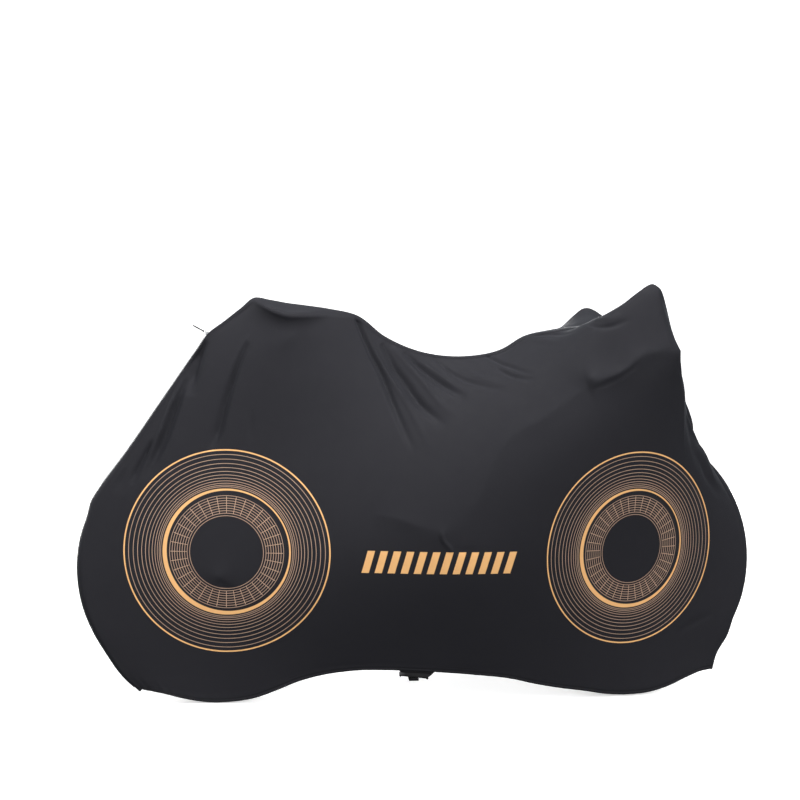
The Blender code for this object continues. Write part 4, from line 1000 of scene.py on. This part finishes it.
LAMPS = (
    # name          from                     to                    size          watts
    ("left_level",  (-3.2, -4.0,  0.0),      (0.35, 0.0, -0.40),   (2.0, 2.0),   155),
    ("top",         ( 0.2, -0.9,  2.6),      (0.35, 0.0, -0.40),   (2.6, 1.2),   184),
    ("right_front", ( 3.6, -3.6,  0.8),      (0.35, 0.0, -0.40),   (2.0, 2.0),   204),
    ("front",       (-0.16, -5.2, 0.5),      (0.35, 0.0, -0.40),   (1.5, 1.5),    70),
    ("left_back",   (-3.4,  1.2,  1.2),      (0.35, 0.0, -0.40),   (2.0, 2.0),    80),
    ("back_level",  ( 1.0,  4.8,  0.0),      (0.35, 0.0, -0.45),   (2.6, 2.0),   225),
)
STAGE_GLOW = (0.50, 0.95)
SKY_LOW, SKY_HIGH = 0.08, 0.08

metal = hard_look("light_metal", (0.16, 0.165, 0.17, 1), (0.30, 0.31, 0.32, 1), 0.36, 1.0, 400.0, 0.2)
pull_look = hard_look("dark_pull", (0.003, 0.003, 0.0035, 1), (0.010, 0.010, 0.011, 1), 0.60, 0.0)
pull_look.node_tree.nodes["Principled BSDF"].inputs["Specular IOR Level"].default_value = 0.10
look_of_node("zip_slider", metal)
look_of_node("zip_ring", metal)
look_of_node("zip_pull", pull_look)
# the buckle's plate is a little lighter than the bar along its lower edge, and carries a painted highlight towards its
# rear end
bar_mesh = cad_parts["buckle"]
spots = np.array([bar_mesh.matrix_world @ v.co for v in bar_mesh.data.vertices])
ball = BUCKLE_BALL[3][1]
ends = [np.array([x - CROWN[0], spots[np.abs(spots[:, 0] - (x - CROWN[0])) < ball][:, 2].min() + ball]) for x, _ in BUCKLE_BAR]
k = Nodes("moulded_plate")
place, x, y, z = k.place()
slope = (ends[1][1] - ends[0][1]) / (ends[1][0] - ends[0][0])
over = k.math("SUBTRACT", k.math("SUBTRACT", z, ends[0][1]), k.math("MULTIPLY", k.math("SUBTRACT", x, ends[0][0]), slope))
lighter = k.math("DIVIDE", k.math("SUBTRACT", over, 0.0016), 0.0016, clamp=True)
near_end = k.math("DIVIDE", k.math("SUBTRACT", ends[0][0] + 0.012, x), 0.014, clamp=True)
speckle = k.noise(place, 180.0, 4.0)
plate = k.mix(speckle, (0.006, 0.006, 0.0065, 1), (0.016, 0.016, 0.017, 1))
# painted highlight: the plate's colour turns much lighter towards its rear end
plate = k.mix(k.math("MULTIPLY", near_end, 0.8), plate, (0.090, 0.092, 0.095, 1))
k.join(k.mix(lighter, (0.0015, 0.0015, 0.0017, 1), plate), k.shader.inputs["Base Color"])
k.shader.inputs["Roughness"].default_value = 0.42
k.shader.inputs["Specular IOR Level"].default_value = 0.22
k.bump(k.noise(place, 1100.0, 2.0), 0.5, 0.00006)
look_of_node("buckle", k.material)

# tabs and strap as webbing with a turned edge
tab_look = webbing_look("tab_webbing", 2)
strap_look = webbing_look("strap_webbing", 0)


def tab(name, node, side):
    """a stiff tab sewn under the hem: two layers with a stitched border"""
    low, high = (np.array(c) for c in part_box(node))
    skin = right_skin if side < 0 else left_skin
    hem = skin[:, FINE_V]
    order = np.argsort(hem[:, 0])
    hx, hy, hz = (hem[order, c] for c in range(3))
    x0, x1 = TAB[0][1] - CROWN[0], TAB[0][2] - CROWN[0]
    depth = TAB[-1][0]
    narrow = (TAB[-1][1] - TAB[0][1], TAB[-1][2] - TAB[0][2])
    points, faces = [], []
    nu, nv = 40, 12
    for layer in (0, 1):
        for p in range(nu + 1):
            for q in range(nv + 1):
                a, b = p / nu, q / nv
                top = x0 + (x1 - x0) * a
                x = top + (narrow[0] * (1 - a) + narrow[1] * a) * b
                rim = min(a, 1 - a) * nu / 2.0
                edge = max(0.0, 1 - min(rim, (1 - b) * nv / 2.0))
                stitch = math.exp(-((min(min(a, 1 - a) * 87, (1 - b) * 1000 * depth + 0.3) - 1.6) / 0.4) ** 2)
                thick = TAB_T * (0.5 - 0.25 * edge * edge) - 0.00018 * stitch
                y = np.interp(top, hx, hy) - side * (0.0002 + 0.5 * TAB_T + (thick if layer else -thick))
                points.append((x, y, np.interp(top, hx, hz) - 0.0004 - depth * b))
    count = (nu + 1) * (nv + 1)
    for layer in (0, 1):
        for p in range(nu):
            for q in range(nv):
                k = layer * count + p * (nv + 1) + q
                f = (k, k + nv + 1, k + nv + 2, k + 1)
                faces.append(f if (layer == 1) == (side < 0) else f[::-1])
    rim = ([p * (nv + 1) for p in range(nu + 1)] + [nu * (nv + 1) + q for q in range(1, nv + 1)]
           + [p * (nv + 1) + nv for p in range(nu - 1, -1, -1)] + [q for q in range(nv - 1, 0, -1)])
    for k, here in enumerate(rim):
        there = rim[(k + 1) % len(rim)]
        f = (here, there, there + count, here + count)
        faces.append(f if side < 0 else f[::-1])
    thing = mesh_object(name, points, faces)
    clean(thing, tab_look)
    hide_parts(node)
    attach(thing, "root")
    return thing


tab_r = tab("hem_tab_right", "tab_right", -1)
tab_l = tab("hem_tab_left", "tab_left", +1)

# the strap follows its solid's middle line, read from the solid's own corners
strap_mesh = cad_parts["strap"]
corner = np.array([strap_mesh.matrix_world @ v.co for v in strap_mesh.data.vertices])
strap_y0, strap_y1 = corner[:, 1].min(), corner[:, 1].max()
near_hem, far_hem = right_skin[:, FINE_V], left_skin[:, FINE_V]


def hem_at(hem, x):
    order = np.argsort(hem[:, 0])
    return np.array([np.interp(x, hem[order, 0], hem[order, c]) for c in (1, 2)])


strap_low, strap_high = (np.array(c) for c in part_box("strap"))
half_y = 0.5 * (strap_high[1] - strap_low[1]) - 0.5 * STRAP_T
mid_y = 0.5 * (strap_high[1] + strap_low[1])
near_end = float(max(corner[corner[:, 1] < strap_low[1] + 0.0020][:, 2]))
path = np.array([(mid_y + share * half_y, near_end - down) for share, down in STRAP_PATH])
path[-1, 1] = strap_high[2] - 0.0002
way = chord(path)
dense = spline(way, path, np.linspace(0, way[-1], 90))
run = np.gradient(dense, axis=0)
run /= np.linalg.norm(run, axis=1)[:, None]
lift = np.stack([-run[:, 1], run[:, 0]], -1)
points, faces = [], []
profile = []
for k in range(17):
    a = -1 + 2 * k / 16
    profile.append((a, 0.5 * STRAP_T * (1 - 0.35 * abs(a) ** 6)))
ring_profile = [(a, h) for a, h in profile] + [(a, -h) for a, h in profile[::-1]]
for (y, z), (ly, lz) in zip(dense, lift):
    for a, h in ring_profile:
        points.append((STRAP_X - CROWN[0] + a * 0.5 * (STRAP_WIDTH - 0.0003), y + ly * h * 0.94, z + lz * h * 0.94))
count = len(ring_profile)
for k in range(len(dense) - 1):
    for q in range(count):
        n = (q + 1) % count
        faces.append((k * count + q, (k + 1) * count + q, (k + 1) * count + n, k * count + n))
faces.append(tuple(range(count)))
faces.append(tuple((len(dense) - 1) * count + q for q in range(count - 1, -1, -1)))
strap = mesh_object("cross_strap", points, faces)
clean(strap, strap_look)
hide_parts("strap")
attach(strap, "root")

# ---- the room, light and camera -----------------------------------------------------------------------------
FLOOR_Z = -0.9690 - 0.0030
# a round floor that turns up into a wall on every side
points, faces = [], []
profile = [(0.6, 0.0), (2.0, 0.0), (4.0, 0.0), (5.6, 0.0)]
for k in range(1, 11):
    a = math.radians(90 * k / 10)
    profile.append((5.6 + 1.8 * math.sin(a), 1.8 * (1 - math.cos(a))))
profile.append((7.4, 8.0))
AROUND = 72
points.append((0.35, 0.0, FLOOR_Z))
for r, z in profile:
    for k in range(AROUND):
        a = 2 * math.pi * k / AROUND
        points.append((0.35 + r * math.cos(a), r * math.sin(a), FLOOR_Z + z))
for k in range(AROUND):
    n = (k + 1) % AROUND
    faces.append((0, 1 + k, 1 + n))
    for s in range(len(profile) - 1):
        faces.append((1 + s * AROUND + k, 1 + (s + 1) * AROUND + k, 1 + (s + 1) * AROUND + n, 1 + s * AROUND + n))
stage = mesh_object("studio_sweep", points, faces)
stage_look = plain_stage("studio_white", (0.90, 0.90, 0.90, 1.0))
stage_look.node_tree.nodes["Principled BSDF"].inputs["Emission Color"].default_value = (1.0, 1.0, 1.0, 1.0)
# The stage glows more the farther it lies from the piece, so the ground and the wall read as one pale surface.
level = stage_look.node_tree.nodes.new("ShaderNodeVectorMath")
level.operation = "MULTIPLY"
level.inputs[1].default_value = (1, 1, 0)
far = stage_look.node_tree.nodes.new("ShaderNodeVectorMath")
far.operation = "LENGTH"
glow = stage_look.node_tree.nodes.new("ShaderNodeMapRange")
glow.inputs["From Min"].default_value, glow.inputs["From Max"].default_value = 1.6, 4.6
glow.inputs["To Min"].default_value, glow.inputs["To Max"].default_value = STAGE_GLOW
stage_look.node_tree.links.new(stage_look.node_tree.nodes["Texture Coordinate"].outputs["Object"], level.inputs[0])
stage_look.node_tree.links.new(level.outputs[0], far.inputs[0])
stage_look.node_tree.links.new(far.outputs["Value"], glow.inputs["Value"])
stage_look.node_tree.links.new(glow.outputs[0], stage_look.node_tree.nodes["Principled BSDF"].inputs["Emission Strength"])
clean(stage, stage_look)
stage.visible_diffuse = stage.visible_glossy = stage.visible_shadow = False

# soft light from all sides, set up to fade towards the floor; its two strengths are equal, so it is even
world = bpy.data.worlds.new("studio")
world.use_nodes = True
sky = world.node_tree
coordinate = sky.nodes.new("ShaderNodeTexCoord")
split = sky.nodes.new("ShaderNodeSeparateXYZ")
fade = sky.nodes.new("ShaderNodeMapRange")
fade.interpolation_type = "SMOOTHSTEP"
fade.inputs["From Min"].default_value, fade.inputs["From Max"].default_value = -0.45, 0.85
fade.inputs["To Min"].default_value, fade.inputs["To Max"].default_value = SKY_LOW, SKY_HIGH
sky.links.new(coordinate.outputs["Generated"], split.inputs[0])
sky.links.new(split.outputs[2], fade.inputs["Value"])
sky.links.new(fade.outputs[0], sky.nodes["Background"].inputs[1])
sky.nodes["Background"].inputs[0].default_value = (0.96, 0.98, 1.0, 1.0)
bpy.context.scene.world = world


def lamp(name, at, to, size, power, colour=(1.0, 1.0, 1.0)):
    data = bpy.data.lights.new(name, "AREA")
    data.shape = "RECTANGLE"
    data.size, data.size_y = size
    data.energy = power
    data.color = colour
    thing = bpy.data.objects.new(name, data)
    thing.location = at
    direction = Vector(to) - Vector(at)
    thing.rotation_euler = direction.to_track_quat("-Z", "Y").to_euler()
    thing.visible_camera = False
    bpy.context.scene.collection.objects.link(thing)
    return thing


for spec in LAMPS:
    lamp(*spec)

camera = bpy.data.cameras.new("view")
camera.sensor_fit = "HORIZONTAL"
camera.sensor_width = 36.0
camera.lens = VIEW_F * 36.0 / 800.0
camera.clip_start, camera.clip_end = 0.05, 60.0
eye = bpy.data.objects.new("view", camera)
right_way, up_way, ahead_way = camera_axes()
turn = Matrix((right_way, up_way, -ahead_way)).transposed().to_4x4()
eye.matrix_world = Matrix.Translation(VIEW_FROM) @ turn
bpy.context.scene.collection.objects.link(eye)
bpy.context.scene.camera = eye
bpy.context.scene.view_settings.view_transform = "Standard"
